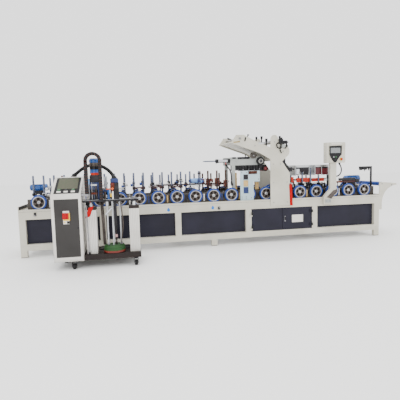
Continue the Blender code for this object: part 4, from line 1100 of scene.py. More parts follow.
def dress_heaters():
    parts = []
    wall = 0.0085
    for number, (low, high) in enumerate(HOOD):
        y0 = low[1]
        x0, x1 = low[0] + wall, high[0] - wall
        # flared lip over the front end, inner liner, hanging pin and ruby heater tubes
        parts.append(cut_plate([(low[0] + 0.016, low[2] + 0.134), (high[0] - 0.024, low[2] + 0.134),
                                (high[0] + 0.010, high[2]), (low[0] - 0.010, high[2])], "XZ", y0 - 0.008,
                                0.0078,
                               BRIGHT_SHEET, 0.001))
        for x in (x0 + 0.060, x1 - 0.060):
            parts.append(crosswise((x, low[2] + 0.012), (y0 + 0.016, high[1] - 0.016), 0.0065, RUBY_GLASS,
                                   0.001, 12))
            for y in (y0 + 0.016, high[1] - 0.036):
                parts.append(block((x - 0.012, x + 0.012), (y, y + 0.020), (low[2] - 0.002, low[2] + 0.030),
                                   WHITE_NYLON, 0.002))
        for y, out in ((y0 + 0.0005, -1), (high[1] - 0.0125, 1)):
            if number == 0:
                parts += [
                    block((x0, x1), (y, y + 0.012), (low[2] + 0.060, low[2] + 0.150), BLACK_STEEL, 0.003),
                    block((x0 + 0.004, x0 + 0.060), (y + 0.006 * out, y + 0.006 * out + 0.012),
                          (low[2] + 0.020, low[2] + 0.110), HUB_ALLOY, 0.004),
                    block((x1 - 0.090, x1 - 0.010), (y + 0.004 * out, y + 0.004 * out + 0.012),
                          (low[2] + 0.012, low[2] + 0.060), BLACK_NYLON, 0.005)]
            else:
                middle = (x0 + x1) / 2
                for a, b, drop in ((x0, middle - 0.007, 0.0), (middle + 0.007, x1, 0.010)):
                    parts += [
                        block((a, b), (y, y + 0.012), (low[2] + 0.010 - drop * 0.5, low[2] + 0.122 - drop),
                              RUBY_GLASS, 0.003),
                        block((a, b), (y, y + 0.012), (low[2] + 0.123 - drop, low[2] + 0.150), BLACK_STEEL,
                              0.002)]
                parts.append(block((middle - 0.006, middle + 0.006), (y, y + 0.012), (low[2], low[2] + 0.150),
                                   HUB_ALLOY, 0.002))
    piece("hood_fittings", "line_frame", *parts)
    low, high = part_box("heater_lamps")
    y0, y1 = low[1], high[1]
    boxes = [block((low[0], high[0]), (y1 - 0.012, y1), (low[2] + 0.030, low[2] + 0.060), BLACK_STEEL, 0.002)]
    for x0, x1, z0, z1 in ((low[0], 4.204, 0.940, 1.034), (4.255, 4.485, 0.940, 1.010),
                           (4.529, 4.745, 0.944, 1.000)):
        boxes += [
            block((x0, x1), (y0, y1 - 0.0125), (z0, min(z1, high[2])), ORANGE_ENAMEL, 0.006),
            on_front((x0 + 0.008, x1 - 0.008), (z0 + 0.030, z0 + 0.036), y0, 0.003, BLACK_STEEL, 0.0005)]
    boxes += [
        block((4.752, high[0]), (y0, y1 - 0.0125), (0.950, 0.985), HUB_ALLOY, 0.004),
        block((4.806, 4.862), (y0 - 0.010, y1), (BAR_TOP + SEAT, 1.168), BLACK_STEEL, 0.006),
        lengthwise((4.215, 4.246), (y0 + 0.012, 0.975), 0.012, GROUND_STEEL, 0.002, 16),
        lengthwise((4.492, 4.522), (y0 + 0.012, 0.970), 0.012, GROUND_STEEL, 0.002, 16)]
    piece("heater_lamp_boxes", "line_frame", *boxes, replaces=("heater_lamps",))
    # air nozzles and terminals between the lamps and the bar
    small = []
    for i in range(14):
        x = 4.178 + 0.045 * i
        material = (WHITE_NYLON, BLACK_NYLON, HUB_ALLOY, BLACK_NYLON, WHITE_NYLON)[i % 5]
        top = 0.918 - 0.014 * (i % 3)
        small += [
            block((x - 0.016, x + 0.016), (0.1522, 0.1522 + 0.024), (0.8303, top - 0.014), BLACK_STEEL, 0.003),
            block((x - 0.019, x + 0.019), (0.1512, 0.1722 + 0.010), (top - 0.0135, top + 0.010), material,
                  0.004),
            upright((x, 0.164), (top, 0.9345), 0.006, GROUND_STEEL, 0.001, 12)]
    piece("lamp_terminals", "line_frame", *small)
    # dark red press bars between the heaters and the outfeed
    tail = []
    for x0, x1, z0, z1, finish in ((4.970, 5.090, 0.905, 0.935, BRONZE),
                                   (5.030, 5.330, 0.938, 0.984, BLACK_STEEL),
                                   (5.100, 5.330, 0.905, 0.937, MAROON),
                                   (5.340, 5.400, 0.900, 0.960, BLACK_STEEL)):
        tail.append(block((x0, x1), (BAR_FRONT + 0.046, BAR_FRONT + 0.085), (z0, z1), finish, 0.006))
    for x in (5.010, 5.180, 5.350):
        tail += [
            upright((x, BAR_FRONT + 0.065), (BAR_TOP + SEAT, 0.930), 0.009, GROUND_STEEL, 0.001, 16),
            block((x - 0.016, x + 0.016), (BAR_FRONT + 0.030, BAR_FRONT + 0.086), (BAR_TOP, BAR_TOP + 0.016),
                  BLACK_STEEL, 0.002)]
    piece("outfeed_press_bars", "line_frame", *tail)


# operator box on its post

def dress_operator_box():
    low, high = BOX
    y0 = low[1]
    hole = 0.0106
    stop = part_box("emergency_stop")
    sx, _, sz = centre_of("emergency_stop")
    body = block((low[0], high[0]), (y0 + 0.004, high[1]), (low[2], high[2]), CREAM, 0.008)
    cut(body, [crosswise((sx, sz), (y0 - 0.01, y0 + 0.034), hole, CREAM, 0, 24)])
    lid = block((low[0] + 0.050, high[0] - 0.004), (y0, y0 + 0.0038), (low[2] + 0.004, high[2] - 0.004),
                CREAM, 0.0012)
    cut(lid, [crosswise((sx, sz), (y0 - 0.01, y0 + 0.034), hole, CREAM, 0, 24)])
    parts = [
        body, lid,
        # black operator panel with its tapered foot, display and keys
        cut_plate([(4.701, 1.376), (4.726, 1.326), (4.780, 1.252), (4.818, 1.252), (4.872, 1.332),
                   (4.916, 1.376), (4.919, 1.520), (4.701, 1.516)], "XZ", y0 - 0.007, 0.0068, BLACK_NYLON,
                   0.002),
        block((4.722, 4.888), (y0 - 0.0085, y0 - 0.0068), (1.402, 1.484), DISPLAY_GREY, 0.0005)]
    for i in range(5):
        x = 4.726 + 0.034 * i
        parts.append(block((x, x + 0.020), (y0 - 0.010, y0 - 0.0068), (1.376, 1.390), BLACK_STEEL, 0.002))
    for x, z, cap in ((4.772, 1.338, GROUND_STEEL), (4.812, 1.338, KEY_GREEN), (4.792, 1.296, BLACK_STEEL)):
        parts.append(crosswise((x, z), (y0 - 0.0068, y0 - 0.015), 0.012, cap, 0.002, 20))
    parts += [
        block((4.735, 4.915), (y0 - 0.0012, y0 + TOUCH), (1.538, 1.562), WHITE_COAT, 0.0003),
        turned([(y0 - 0.004, hole), (y0 - 0.004, 0.022), (y0 - TOUCH, 0.026), (y0 - TOUCH, hole),
                (y0 - 0.004, hole)],
               (sx, 0, sz), "Y", YELLOW_PLASTIC, 32)]
    for z in (low[2] + 0.050, high[2] - 0.050):
        parts.append(upright((high[0] + TOUCH, y0 + 0.014), (z - 0.018, z + 0.018), 0.005, GROUND_STEEL,
                             0.001, 12))
    piece("operator_box", "line_frame", *parts, replaces=("control_box",))
    f = stop[0][1]
    knob = turned([(f, 0.0), (f, 0.010), (f + 0.004, 0.017), (f + 0.009, 0.0193), (f + 0.015, 0.0175),
                   (f + 0.018, 0.0125), (f + 0.018, 0.0098), (stop[1][1], 0.0098), (stop[1][1], 0.0)],
                  (sx, 0, sz), "Y", RED_PLASTIC, 32)
    piece("stop_mushroom", "emergency_stop", knob, replaces=("emergency_stop",))
    low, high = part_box("control_post")
    foot = [on_front((low[0] + 0.020, low[0] + 0.121), (0.602, 0.660), low[1], 0.010, GREY_HAMMER, 0.003)]
    foot += [hex_bolt((x, low[1] - 0.010, 0.631), "-Y", 0.012) for x in (low[0] + 0.042, low[0] + 0.099)]
    foot += [
        block((low[0] + 0.112, low[0] + 0.152), (low[1] + 0.008, high[1]), (high[2] - 0.060, high[2]),
              GREY_HAMMER, 0.003),
        cut_plate([(4.670, 0.690), (4.752, 0.664), (4.858, 0.782), (4.843, 0.812), (4.790, 0.802)], "XZ",
                  low[1] - 0.0062, 0.006, CAST_WEB, 0.001)]
    piece("post_foot_plate", "line_frame", *foot)


# outfeed end

def dress_outfeed():
    for number in (1, 2):
        name = "outfeed_roller_%d" % number
        low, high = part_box(name)
        x, _, z = centre_of(name)
        y0, y1 = low[1] + 0.026, high[1] - 0.026
        r = 0.033
        roller = turned([(y0, 0.010), (y0, r - 0.004), (y0 + 0.004, r), (y1 - 0.004, r), (y1, r - 0.004),
                         (y1, 0.010)], (x, 0, z), "Y", TYRE, 40)
        pin = crosswise((x, z), (low[1], high[1]), 0.0098, GROUND_STEEL, 0.002)
        piece("blue_outfeed_roller_%d" % number, name, roller, pin, replaces=(name,))
    low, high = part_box("outfeed_bracket")
    bolts = []
    for y in (low[1] + 0.080, high[1] - 0.080):
        for z in (0.480, 0.560):
            bolts.append(hex_bolt((low[0] + 0.012, y, z), "X", 0.014))
    piece("bracket_bolts", "line_frame", *bolts)
    low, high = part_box("sensor_stand")
    y0 = low[1]
    head = [on_front((5.366, 5.420), (1.108, 1.170), y0, 0.034, BLACK_NYLON, 0.012),
            lengthwise((5.420, 5.448), (y0 - 0.018, 1.138), 0.022, BLACK_STEEL, 0.004),
            on_front((5.448, 5.506), (1.112, 1.166), y0, 0.030, BLACK_NYLON, 0.010),
            upright((5.548, y0 - 0.008), (1.100, 1.150), 0.011, BLACK_NYLON, 0.003, 16),
            upright((5.470, y0 - 0.008), (1.118, 1.088), 0.010, GROUND_STEEL, 0.002, 16),
            block((5.548, 5.594), (y0 - 0.008, y0 + 0.032), (BAR_TOP + SEAT, BAR_TOP + 0.014), BLACK_STEEL,
                  0.003),
            star_knob((5.585, y0 + 0.012, 1.140), (1, 0, 0), 0.010, BLACK_NYLON)]
    piece("sensor_head", "line_frame", *head)


# small fittings of the bench

def dress_bench():
    parts = []
    for x in (0.0, 5 * BAY / 2, 5 * BAY):
        for y in (FRONT + 0.030, BACK - 0.030):
            parts.append(block((x - 0.045, x + 0.045), (y - 0.0305, y + 0.0305), (0.0, 0.010), BLACK_NYLON,
                               0.003))
    piece("foot_pads", "line_frame", *parts)
    marks = []
    for x, z in ((2.098, 0.600), (2.787, 0.601)):
        drop = [(x, z + 0.036)] + [(x + 0.023 * cos(radians(a)), z - 0.004 + 0.023 * sin(radians(a)))
                                   for a in range(145, 396, 10)]
        marks.append(cut_plate(drop, "XZ", FRONT - 0.0012, 0.001, BLUE_PLASTIC, 0.0002))
    piece("blue_markers", "line_frame", *marks)
    # black strip under the ledge: painted shadow of the gap there; dark plate on the inner face of the end lip
    shadow_strip_and_lip_plate = [block((BENCH[0][0] + 0.010, BENCH[1][0] - 0.010), (FRONT - 0.0006, FRONT - 0.0001),
                  (0.6625, 0.6645), BLACK_RUBBER, 0),
            block((LEFT + 0.0083, LEFT + 0.0115), (FRONT + 0.010, BACK - 0.010), (LEDGE_TOP + SEAT, 0.737),
                  GREY_COAT, 0.001)]
    piece("ledge_seam_and_liner", "line_frame", *shadow_strip_and_lip_plate)
    latch = [on_front((2.868, 2.904), (0.570, 0.614), FRONT, 0.014, BLACK_STEEL, 0.004),
             crosswise((2.886, 0.598), (FRONT - 0.014, FRONT - 0.024), 0.008, GROUND_STEEL, 0.001, 16),
             on_front((0.165, 0.200), (0.600, 0.650), FRONT, 0.012, BLACK_STEEL, 0.004),
             lengthwise((0.172, 0.193), (FRONT - 0.016, 0.640), 0.009, BLACK_NYLON, 0.002, 16),
             crosswise((0.182, 0.612), (FRONT - 0.012, FRONT - 0.022), 0.008, GROUND_STEEL, 0.001, 16)]
    piece("bench_latches", "line_frame", *latch)
    # black covers on the hinges, they turn with the doors
    for name, way in (("door_left", 1), ("door_right", -1)):
        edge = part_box(name)[0][0] if way > 0 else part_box(name)[1][0]
        covers = [block(sorted((edge + way * 0.001, edge + way * 0.028)), (FRONT - 0.0235, FRONT - 0.0162),
                        (z - 0.021, z + 0.022), BLACK_NYLON, 0.003) for z in (0.262, 0.478)]
        piece("hinge_covers_" + name, name, *covers)
    low_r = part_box("door_right")[0]
    y0 = -0.030
    handle = [on_front((low_r[0] + 0.030, low_r[0] + 0.052), (0.325, 0.416), y0, 0.013, GROUND_STEEL, 0.004),
              block((low_r[0] + 0.033, low_r[0] + 0.049), (y0 - 0.018, y0 - 0.013), (0.345, 0.400),
                    BLACK_STEEL, 0.003)]
    piece("door_handle", "door_right", *handle)
    plate = on_front((4.093, 4.283), (0.305, 0.425), y0, 0.0015, WHITE_COAT, 0.0005)
    piece("blank_plate", "door_right", plate)


# melter

def slope_matrix():
    """Console of the cabinet: x along it, y up the slope, z out of it, from its lower front edge."""
    low, high = CABINET
    foot = Vector((0, low[1], high[2] - 0.210))
    up = (Vector((0, high[1] - 0.110, high[2])) - foot).normalized()
    out = Vector((1, 0, 0)).cross(up)
    return Matrix(((1, up.x, out.x, foot.x), (0, up.y, out.y, foot.y), (0, up.z, out.z, foot.z), (0, 0, 0, 1)))


def dress_cabinet():
    low, high = CABINET
    front = low[1]
    floor_z = BASE[0][2] + 0.0703
    base_front = BASE[0][1] - SEAT
    outline = [(front, low[2]), (base_front, low[2]), (base_front, floor_z), (high[1], floor_z),
               (high[1], high[2]), (high[1] - 0.110, high[2]), (front, high[2] - 0.210)]
    right = low[0] + CABINET_W
    body = cut_plate(outline, "YZ", low[0], CABINET_W, WHITE_COAT, 0.005)
    cut(body, [block((0.609, 0.903), (front - 0.01, front + 0.004), (0.164, 0.893), WHITE_COAT, 0)])
    parts = [
        body,
        block((0.6115, 0.9005), (front - 0.001, front + 0.0038), (0.1665, 0.8905), GREY_COAT, 0.002),
        # main switch: yellow and red handle on a white plate
        block((0.712, 0.786), (front - 0.004, front - 0.0012), (0.584, 0.747), WHITE_NYLON, 0.001),
        block((0.716, 0.794), (front - 0.010, front - 0.004), (0.626, 0.722), YELLOW_PLASTIC, 0.004),
        block((0.708, 0.780), (front - 0.026, front - 0.010), (0.646, 0.724), RED_PLASTIC, 0.008),
        block((0.736, 0.754), (front - 0.044, front - 0.026), (0.652, 0.718), RED_PLASTIC, 0.005),
        block((0.756, 0.786), (front - 0.006, front - 0.0038), (0.588, 0.620), BLACK_NYLON, 0.001),
        block((0.720, 0.738), (front - 0.006, front - 0.0038), (0.598, 0.612), YELLOW_PLASTIC, 0.001),
        crosswise((0.885, 0.530), (front - 0.001, front - 0.008), 0.010, BLACK_STEEL, 0.001, 16)]
    # console: dark frame, display, three lit keys
    face = slope_matrix()
    console = [block((low[0] + 0.034, right - 0.024), (0.028, 0.415), (0.0003, 0.006), BLACK_RUBBER, 0.002),
               block((low[0] + 0.066, right - 0.050), (0.128, 0.395), (0.006, 0.009), DISPLAY_GREEN, 0.001)]
    for x, cap in ((0.668, KEY_GREEN), (0.752, BLACK_NYLON), (0.838, KEY_GREEN)):
        console += [
            block((x - 0.024, x + 0.024), (0.046, 0.078), (0.006, 0.012), WHITE_NYLON, 0.003),
            upright((x, 0.096), (0.006, 0.020), 0.020, cap, 0.004, 24)]
    console = join(console)
    console.data.transform(face)
    parts += [
        console,
        upright((0.655, high[1] - 0.060), (high[2], high[2] + 0.020), 0.012, BRONZE, 0.003, 20)]
    for z in (0.300, 0.550, 0.800):
        parts.append(block((right - 0.020, right + 0.0035), (high[1] - 0.004, high[1] + 0.003), (z, z + 0.060),
                           BLACK_STEEL, 0.001))
    # arm on the side for the cable chain
    parts.append(block((right - 0.005, high[0]), (-0.905, -0.855), (CHAIN_LOW - 0.025, CHAIN_LOW - SEAT),
                       GROUND_STEEL, 0.002))
    piece("control_cabinet", "line_frame", *parts, replaces=("melter_cabinet",))


def make_column(x):
    """Extruded column of the ram: ribbed faces, dark cap, open bore for the rod."""
    half_width, half_depth = 0.064, 0.074
    groove = half_depth - 0.005
    ribs = 6
    step = 2 * half_width / ribs
    outline = []
    for side in (-1, 1):
        for i in range(ribs):
            a = side * (half_width - i * step)
            outline += [(a, side * half_depth), (a - side * step * 0.80, side * half_depth),
                        (a - side * step * 0.84, side * groove), (a - side * step * 0.96, side * groove)]
        outline.append((-side * half_width, side * half_depth))
    shaft = cut_plate([(x + u, RAM_Y + v) for u, v in outline], "XY", 0.1753, 0.5595, WHITE_COAT, 0.0008)
    cap = block((x - 0.065, x + 0.065), (RAM_Y - 0.075, RAM_Y + 0.075), (0.735, COLUMN_TOP), DARK_BRONZE, 0.003)
    column = join([shaft, cap])
    cut(column, [upright((x, RAM_Y), (0.215, COLUMN_TOP + 0.02), 0.0228, WHITE_COAT, 0, 24)])
    return column


def dress_base():
    low, high = BASE
    slab = block((low[0], high[0]), (low[1], high[1]), (low[2], 0.175), DARK_BRONZE, 0.004)
    parts = [slab] + [make_column(x) for x in RAM_X]
    parts += [
        block(MAST_X, MAST_Y, (0.1752, high[2]), WHITE_COAT, 0.004),
        # black strip down the front of the mast: painted shade of the gap between the cabinet and the column
        on_front((MAST_X[0] - 0.010, MAST_X[1] + 0.004), (0.1752, 0.832), MAST_Y[0], 0.016, BLACK_STEEL, 0.003),
        # guide rod of the drum, leaning a little, in its foot
        bar((1.000, -0.868, 0.1752), (0.984, -0.862, 0.800), 0.0075, GROUND_STEEL, 0.001, 12),
        upright((1.000, -0.868), (0.1752, 0.205), 0.013, BLACK_STEEL, 0.002, 16),
        # black plate on the base's top behind the platen: painted shade on the base there
        block((1.112, 1.500), (-0.640, -0.420), (0.1752, 0.190), BLACK_STEEL, 0.004)]
    # cups that the casters turn in
    cut(slab, [upright(at, (low[2] - 0.01, low[2] + 0.024), 0.0126, DARK_BRONZE, 0, 20) for at in CASTER_AT])
    piece("melter_base_and_columns", "line_frame", *parts, replaces=("melter_base",))
    foot = [upright((0.649, -0.485), (0.0, 0.012), 0.024, BLACK_NYLON, 0.004, 24),
            upright((0.649, -0.485), (0.012, low[2] - SEAT), 0.007, GROUND_STEEL, 0, 16)]
    piece("levelling_foot", "line_frame", *foot)


def dress_casters():
    for number, (x, y) in enumerate(CASTER_AT, 1):
        name = "caster_%d" % number
        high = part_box(name)[1]
        r = 0.0358
        wy = y - 0.020
        plate = block((x - 0.028, x + 0.028), (y - 0.030, y + 0.030), (0.088, 0.094), BLACK_STEEL, 0.0015)
        cheeks = [cut_plate([(y - 0.038, 0.030), (y - 0.030, 0.024), (y - 0.010, 0.024), (y + 0.010, 0.070),
                             (y + 0.010, 0.088), (y - 0.030, 0.088), (y - 0.040, 0.060)], "YZ", sx, 0.005,
                            BLACK_STEEL, 0.0008) for sx in (x - 0.028, x + 0.023)]
        tyre = turned([(-0.020, 0.020), (-0.020, r - 0.006), (-0.014, r), (0.014, r), (0.020, r - 0.006),
                       (0.020, 0.020), (-0.020, 0.020)], (x, wy, r), "X", BLACK_RUBBER, 32)
        hub = turned([(-0.019, 0.0), (-0.019, 0.010), (-0.012, 0.012), (-0.012, 0.021), (0.012, 0.021),
                      (0.012, 0.012), (0.019, 0.010), (0.019, 0.0)], (x, wy, r), "X", HUB_ALLOY, 24)
        axle = lengthwise((x - 0.0279, x + 0.0279), (wy, r), 0.005, GROUND_STEEL, 0.001, 12)
        stem = upright((x, y), (0.094, high[2]), 0.0118, GROUND_STEEL, 0.001, 20)
        piece("caster_assembly_%d" % number, name, plate, tyre, hub, axle, stem, *cheeks, replaces=(name,))


def dress_ram():
    low, high = TABLE
    z0, z1 = high[2] - 0.025, high[2]
    table = block((low[0], high[0]), TABLE_Y, (z0, z1), BLACK_STEEL, 0.003)
    y = TABLE_Y[0]
    rim = block((low[0] + 0.004, high[0] - 0.004), (y + 0.002, y + 0.006), (z1, z1 + 0.0022), HUB_ALLOY, 0.0004)
    tab = block(TAB_X, TAB_Y, (z0 + 0.002, z1 - 0.001), BLACK_STEEL, 0.002)
    rods = [upright((x, RAM_Y), (low[2], z0 + 0.004), 0.0218, CHROME, 0.002, 32) for x in RAM_X]
    nuts = [upright((x, RAM_Y), (z1, z1 + 0.020), 0.030, GROUND_STEEL, 0.002, 6) for x in RAM_X[1:]]
    piece("ram_table_and_rods", "ram", table, rim, tab, *rods, *nuts, replaces=("ram_crosshead",))
    # platen with its ring seal, hung on rods
    low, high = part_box("follower_platen")
    cx = (low[0] + high[0]) / 2
    r = (high[0] - low[0]) / 2
    base = low[2]
    disc = turned([(base + 0.028, 0.0), (base + 0.028, r - 0.003), (base + 0.060, r - 0.003),
                   (base + 0.064, r - 0.008), (base + 0.086, r - 0.012), (base + 0.092, r - 0.018),
                   (base + 0.092, 0.045), (base + 0.095, 0.040), (base + 0.095, 0.0)], (cx, RAM_Y, 0), "Z",
                   GREEN_COAT, 64)
    seal = turned([(low[2], r - 0.030), (low[2], r - 0.006), (low[2] + 0.004, r), (low[2] + 0.022, r),
                   (low[2] + 0.0278, r - 0.005), (low[2] + 0.0278, r - 0.030), (low[2], r - 0.030)],
                  (cx, RAM_Y, 0), "Z", SEAL_RED, 64)
    under = turned([(low[2] + 0.006, 0.0), (low[2] + 0.006, r - 0.0302), (low[2] + 0.0278, r - 0.0302),
                    (low[2] + 0.0278, 0.0)], (cx, RAM_Y, 0), "Z", GREEN_COAT, 48)
    parts = [disc, seal, under]
    top = high[2]
    for dx, dy in ((-0.070, -0.040), (0.000, 0.050), (0.090, -0.020)):
        parts += [
            upright((cx + dx, RAM_Y + dy), (0.268, top), 0.0108, HUB_ALLOY, 0, 20),
            upright((cx + dx, RAM_Y + dy), (0.268, 0.296), 0.018, GROUND_STEEL, 0.002, 6),
            upright((cx + dx, RAM_Y + dy), (top - 0.055, top), 0.021, HUB_ALLOY, 0.004, 16)]
    parts += [
        upright((cx + 0.030, RAM_Y - 0.034), (0.470, top), 0.019, BLACK_STEEL, 0.003),
        upright((cx + 0.030, RAM_Y - 0.034), (0.268, 0.470), 0.009, DARK_BRONZE, 0, 20),
        upright((cx + 0.030, RAM_Y - 0.034), (0.370, 0.405), 0.017, PINK_WASHER, 0.003),
        upright((cx - 0.006, RAM_Y - 0.052), (0.268, top), 0.0085, HUB_ALLOY, 0, 16),
        # slanting blow-off arm and the two grey air tubes beside it
        bar((cx - 0.095, RAM_Y - 0.048, 0.668), (cx - 0.012, RAM_Y - 0.048, 0.752), 0.014, HUB_ALLOY, 0.003,
            16)]
    for dx in (-0.128, -0.150):
        parts.append(bar((cx + dx * 0.88, RAM_Y + 0.020, 0.268), (cx + dx, RAM_Y + 0.020, top), 0.010, CAST_WEB,
                         0.001, 16))
    parts.append(bent_tube([(cx + 0.096, RAM_Y - 0.040, top), (cx + 0.110, RAM_Y - 0.044, 0.720),
                            (cx + 0.128, RAM_Y - 0.048, 0.560), (cx + 0.112, RAM_Y - 0.044, 0.430),
                            (cx + 0.092, RAM_Y - 0.036, 0.360), (cx + 0.092, RAM_Y - 0.030, 0.270)],
                           0.0075, CAST_WEB))
    piece("platen_and_rods", "ram", *parts, replaces=("follower_platen",))


def dress_pump():
    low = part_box("pump_unit")[0]
    z = TABLE[1][2] + SEAT
    x0 = low[0]
    mx, my = x0 + 0.083, RAM_Y + 0.010
    # pump body, gearbox, motor with its two bands
    parts = [
        block((x0, x0 + 0.165), (RAM_Y - 0.014, RAM_Y + 0.080), (z, 0.990), BLACK_STEEL, 0.004),
        block((x0 + 0.010, x0 + 0.155), (RAM_Y - 0.030, RAM_Y + 0.078), (0.9902, 1.085), NAVY_ENAMEL, 0.006),
        block((x0 + 0.024, x0 + 0.142), (RAM_Y - 0.040, RAM_Y + 0.060), (1.0852, 1.176), BLACK_STEEL, 0.008),
        turned([(1.1762, 0.0), (1.1762, 0.050), (1.190, 0.050), (1.192, 0.054), (1.204, 0.054), (1.204, 0.0)],
               (mx, my, 0), "Z", ORANGE_ENAMEL, 40),
        turned([(1.2042, 0.0), (1.2042, 0.056), (1.244, 0.056), (1.244, 0.0)], (mx, my, 0), "Z", BLUE_ENAMEL,
               40),
        turned([(1.2442, 0.0), (1.2442, 0.050), (1.285, 0.050), (1.285, 0.0)], (mx, my, 0), "Z", BLACK_STEEL,
               40),
        turned([(1.2852, 0.0), (1.2852, 0.055), (1.289, 0.057), (1.328, 0.057), (1.332, 0.055), (1.332, 0.0)],
               (mx, my, 0), "Z", CAST_WEB, 40),
        turned([(1.3322, 0.0), (1.3322, 0.057), (1.337, 0.060), (1.368, 0.060), (1.386, 0.046), (1.386, 0.0)],
               (mx, my, 0), "Z", BLUE_ENAMEL, 40)]
    fin = block((0.049, 0.0555), (-0.0014, 0.0014), (1.246, 1.284), BLACK_STEEL, 0.0006)
    for i in range(20):
        place = Matrix.Translation((mx, my, 0)) @ Matrix.Rotation(2 * pi * i / 20, 4, "Z")
        parts.append(copy_of(fin, place))
    bpy.data.objects.remove(fin, do_unlink=True)
    # tubes and small cylinders in front of the pump, all behind the hose's plane
    y = RAM_Y - 0.026
    for dx, z0, z1, r, finish in (
            (0.012, z, 1.056, 0.010, GROUND_STEEL), (0.012, 1.056, 1.130, 0.011, SKY_ENAMEL),
            (0.046, z, 1.150, 0.0085, GROUND_STEEL), (0.072, z, 1.150, 0.0085, POST_STEEL),
            (0.098, 0.905, 1.040, 0.011, CAST_WEB),
            (0.126, z, 1.075, 0.010, NAVY_ENAMEL), (0.150, z, 1.000, 0.011, HUB_ALLOY)):
        parts.append(upright((x0 + dx, y), (z0, z1), r, finish, 0.001, 16))
    for z0, z1, finish in ((1.040, 1.060, HUB_ALLOY), (0.930, 0.955, BRONZE)):
        parts.append(block((x0 + 0.034, x0 + 0.112), (y - 0.010, y + 0.012), (z0, z1), finish, 0.003))
    # pipe to the filter block, coupling, regulator tubes
    parts += [
        lengthwise((x0 + 0.165, x0 + 0.272), (RAM_Y + 0.010, 0.900), 0.028, GROUND_STEEL, 0.003),
        lengthwise((x0 + 0.200, x0 + 0.236), (RAM_Y + 0.010, 0.900), 0.038, HUB_ALLOY, 0.003, 6),
        block((x0 + 0.172, x0 + 0.262), (RAM_Y - 0.018, RAM_Y + 0.036), (0.9382, 0.985), NAVY_ENAMEL, 0.005)]
    for dx in (0.206, 0.230):
        parts.append(upright((x0 + dx, RAM_Y), (0.985, 1.150), 0.0095, HUB_ALLOY, 0.002, 20))
    parts += [
        upright((x0 + 0.249, RAM_Y - 0.038), (z, 1.000), 0.0175, BLUE_ENAMEL, 0.003),
        upright((x0 + 0.206, RAM_Y - 0.040), (z, 0.960), 0.015, CAST_WEB, 0.003)]
    # filter block with its blue head, brown heater cap, fittings in front
    c0, c1 = x0 + 0.272, x0 + 0.380
    parts += [
        block((c0, c1), (RAM_Y - 0.036, RAM_Y + 0.070), (z, 1.070), BLACK_STEEL, 0.006),
        block((c0 + 0.004, c1 - 0.004), (RAM_Y - 0.034, RAM_Y + 0.068), (1.0702, 1.124), NAVY_ENAMEL, 0.008),
        block((c0 + 0.006, c0 + 0.056), (RAM_Y - 0.050, RAM_Y - 0.0362), (1.008, 1.072), BRONZE, 0.004),
        block((c0 + 0.020, c0 + 0.044), (RAM_Y - 0.056, RAM_Y - 0.050), (1.040, 1.066), SEAL_RED, 0.002),
        block((c0 + 0.062, c0 + 0.100), (RAM_Y - 0.044, RAM_Y - 0.0362), (0.900, 0.985), BLACK_NYLON, 0.004),
        bar((x0 + 0.226, RAM_Y - 0.055, 0.992), (x0 + 0.318, RAM_Y - 0.055, 0.998), 0.0085, ORANGE_PLASTIC,
            0.002, 16),
        upright((x0 + 0.300, RAM_Y - 0.055), (0.975, 1.012), 0.0075, ORANGE_PLASTIC, 0.002, 16),
        upright((c0 + 0.006, RAM_Y - 0.050), (0.892, 0.936), 0.011, YELLOW_PLASTIC, 0.003),
        upright((c0 + 0.030, RAM_Y - 0.050), (z, 0.965), 0.010, WHITE_NYLON, 0.002, 16)]
    piece("pump_and_motor", "ram", *parts, replaces=("pump_unit",))


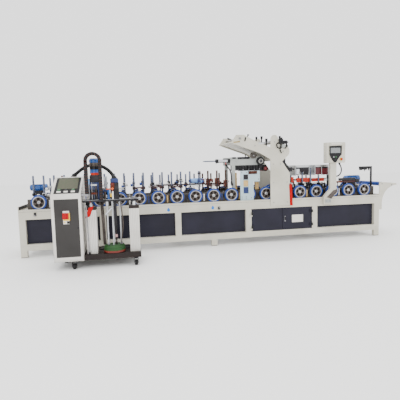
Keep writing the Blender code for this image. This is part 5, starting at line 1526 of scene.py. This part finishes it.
def dress_chain():
    """Cable chain: one link made once and laid along its two legs and the arch."""
    low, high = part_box("cable_chain")
    thick = 0.046
    depth = high[1] - low[1]
    mid_y = (low[1] + high[1]) / 2
    cx = (low[0] + high[0]) / 2
    r = (high[0] - low[0]) / 2 - thick / 2
    top = high[2] - r - thick / 2
    pitch = 0.034
    link = block((-0.0155, 0.0155), (-depth / 2 + 0.004, depth / 2 - 0.004), (-0.016, 0.016), BLACK_NYLON,
                 0.002)
    cut(link, [block((-0.02, 0.02), (-depth / 2 + 0.010, depth / 2 - 0.010), (-0.011, 0.011), BLACK_NYLON, 0)])
    sides = [block((-0.019, 0.019), (y, y + 0.0042), (-0.0205, 0.0205), BLACK_NYLON, 0.0015)
             for y in (-depth / 2, depth / 2 - 0.0042)]
    pins = [crosswise((0.0, dz), (-depth / 2 - 0.0008, -depth / 2 + 0.003), 0.0045, BRONZE, 0.0008, 12)
            for dz in (-0.009, 0.009)]
    link = join([link] + sides + pins)
    places = []
    z = CHAIN_LOW + 0.018
    while z < top - 0.010:
        places.append(((cx - r, z), pi / 2))
        z += pitch
    turns = int(round(pi * r / pitch))
    for i in range(turns + 1):
        a = pi - pi * i / turns
        places.append(((cx + r * cos(a), top + r * sin(a)), a - pi / 2))
    z = top - pitch * 0.95
    while z > low[2] + 0.020:
        places.append(((cx + r, z), -pi / 2))
        z -= pitch
    parts = []
    for (x, z), a in places:
        parts.append(copy_of(link, Matrix.Translation((x, mid_y, z)) @ Matrix.Rotation(-a, 4, "Y")))
    bpy.data.objects.remove(link, do_unlink=True)
    parts.append(block((cx + r - 0.020, cx + r + 0.020), (low[1] + 0.004, high[1] - 0.004),
                       (low[2], low[2] + 0.012), GROUND_STEEL, 0.002))
    chain = join(parts)
    chain.name = "cable_chain_links"
    chain.data.name = "cable_chain_links"
    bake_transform(chain)
    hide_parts("cable_chain")
    anchor = block((cx - r - 0.020, cx - r + 0.020), (low[1] + 0.008, high[1] - 0.008),
                   (CHAIN_LOW, CHAIN_LOW + 0.008), GROUND_STEEL, 0.002)
    piece("chain_anchor", "line_frame", anchor)


make_hose()
make_box_cable()
make_air_hose()
make_tag_tie()
make_cloth("red_tag", "ram", 0.062, 0.130, (1.043, TABLE_Y[0] - 0.012, 0.776), RED_WEBBING,
           0.0010, 0.36)
make_cloth("red_strap", "line_frame", 0.048, 0.350,
           (4.062, PLATE_F[0][1] - 0.0024, 0.932), RED_WEBBING, 0.0008, -0.04)
dress_wheels()
dress_bars()
dress_clamps()
dress_motor("drive_motor_body", "drive_motor", 0.062)
dress_motor("feed_motor_body", "feed_motor", 0.052)
dress_nip_roller()
dress_red_roller()
dress_station()
dress_cylinder()
dress_heaters()
dress_operator_box()
dress_outfeed()
dress_bench()
dress_cabinet()
dress_base()
dress_casters()
dress_ram()
dress_pump()
dress_chain()
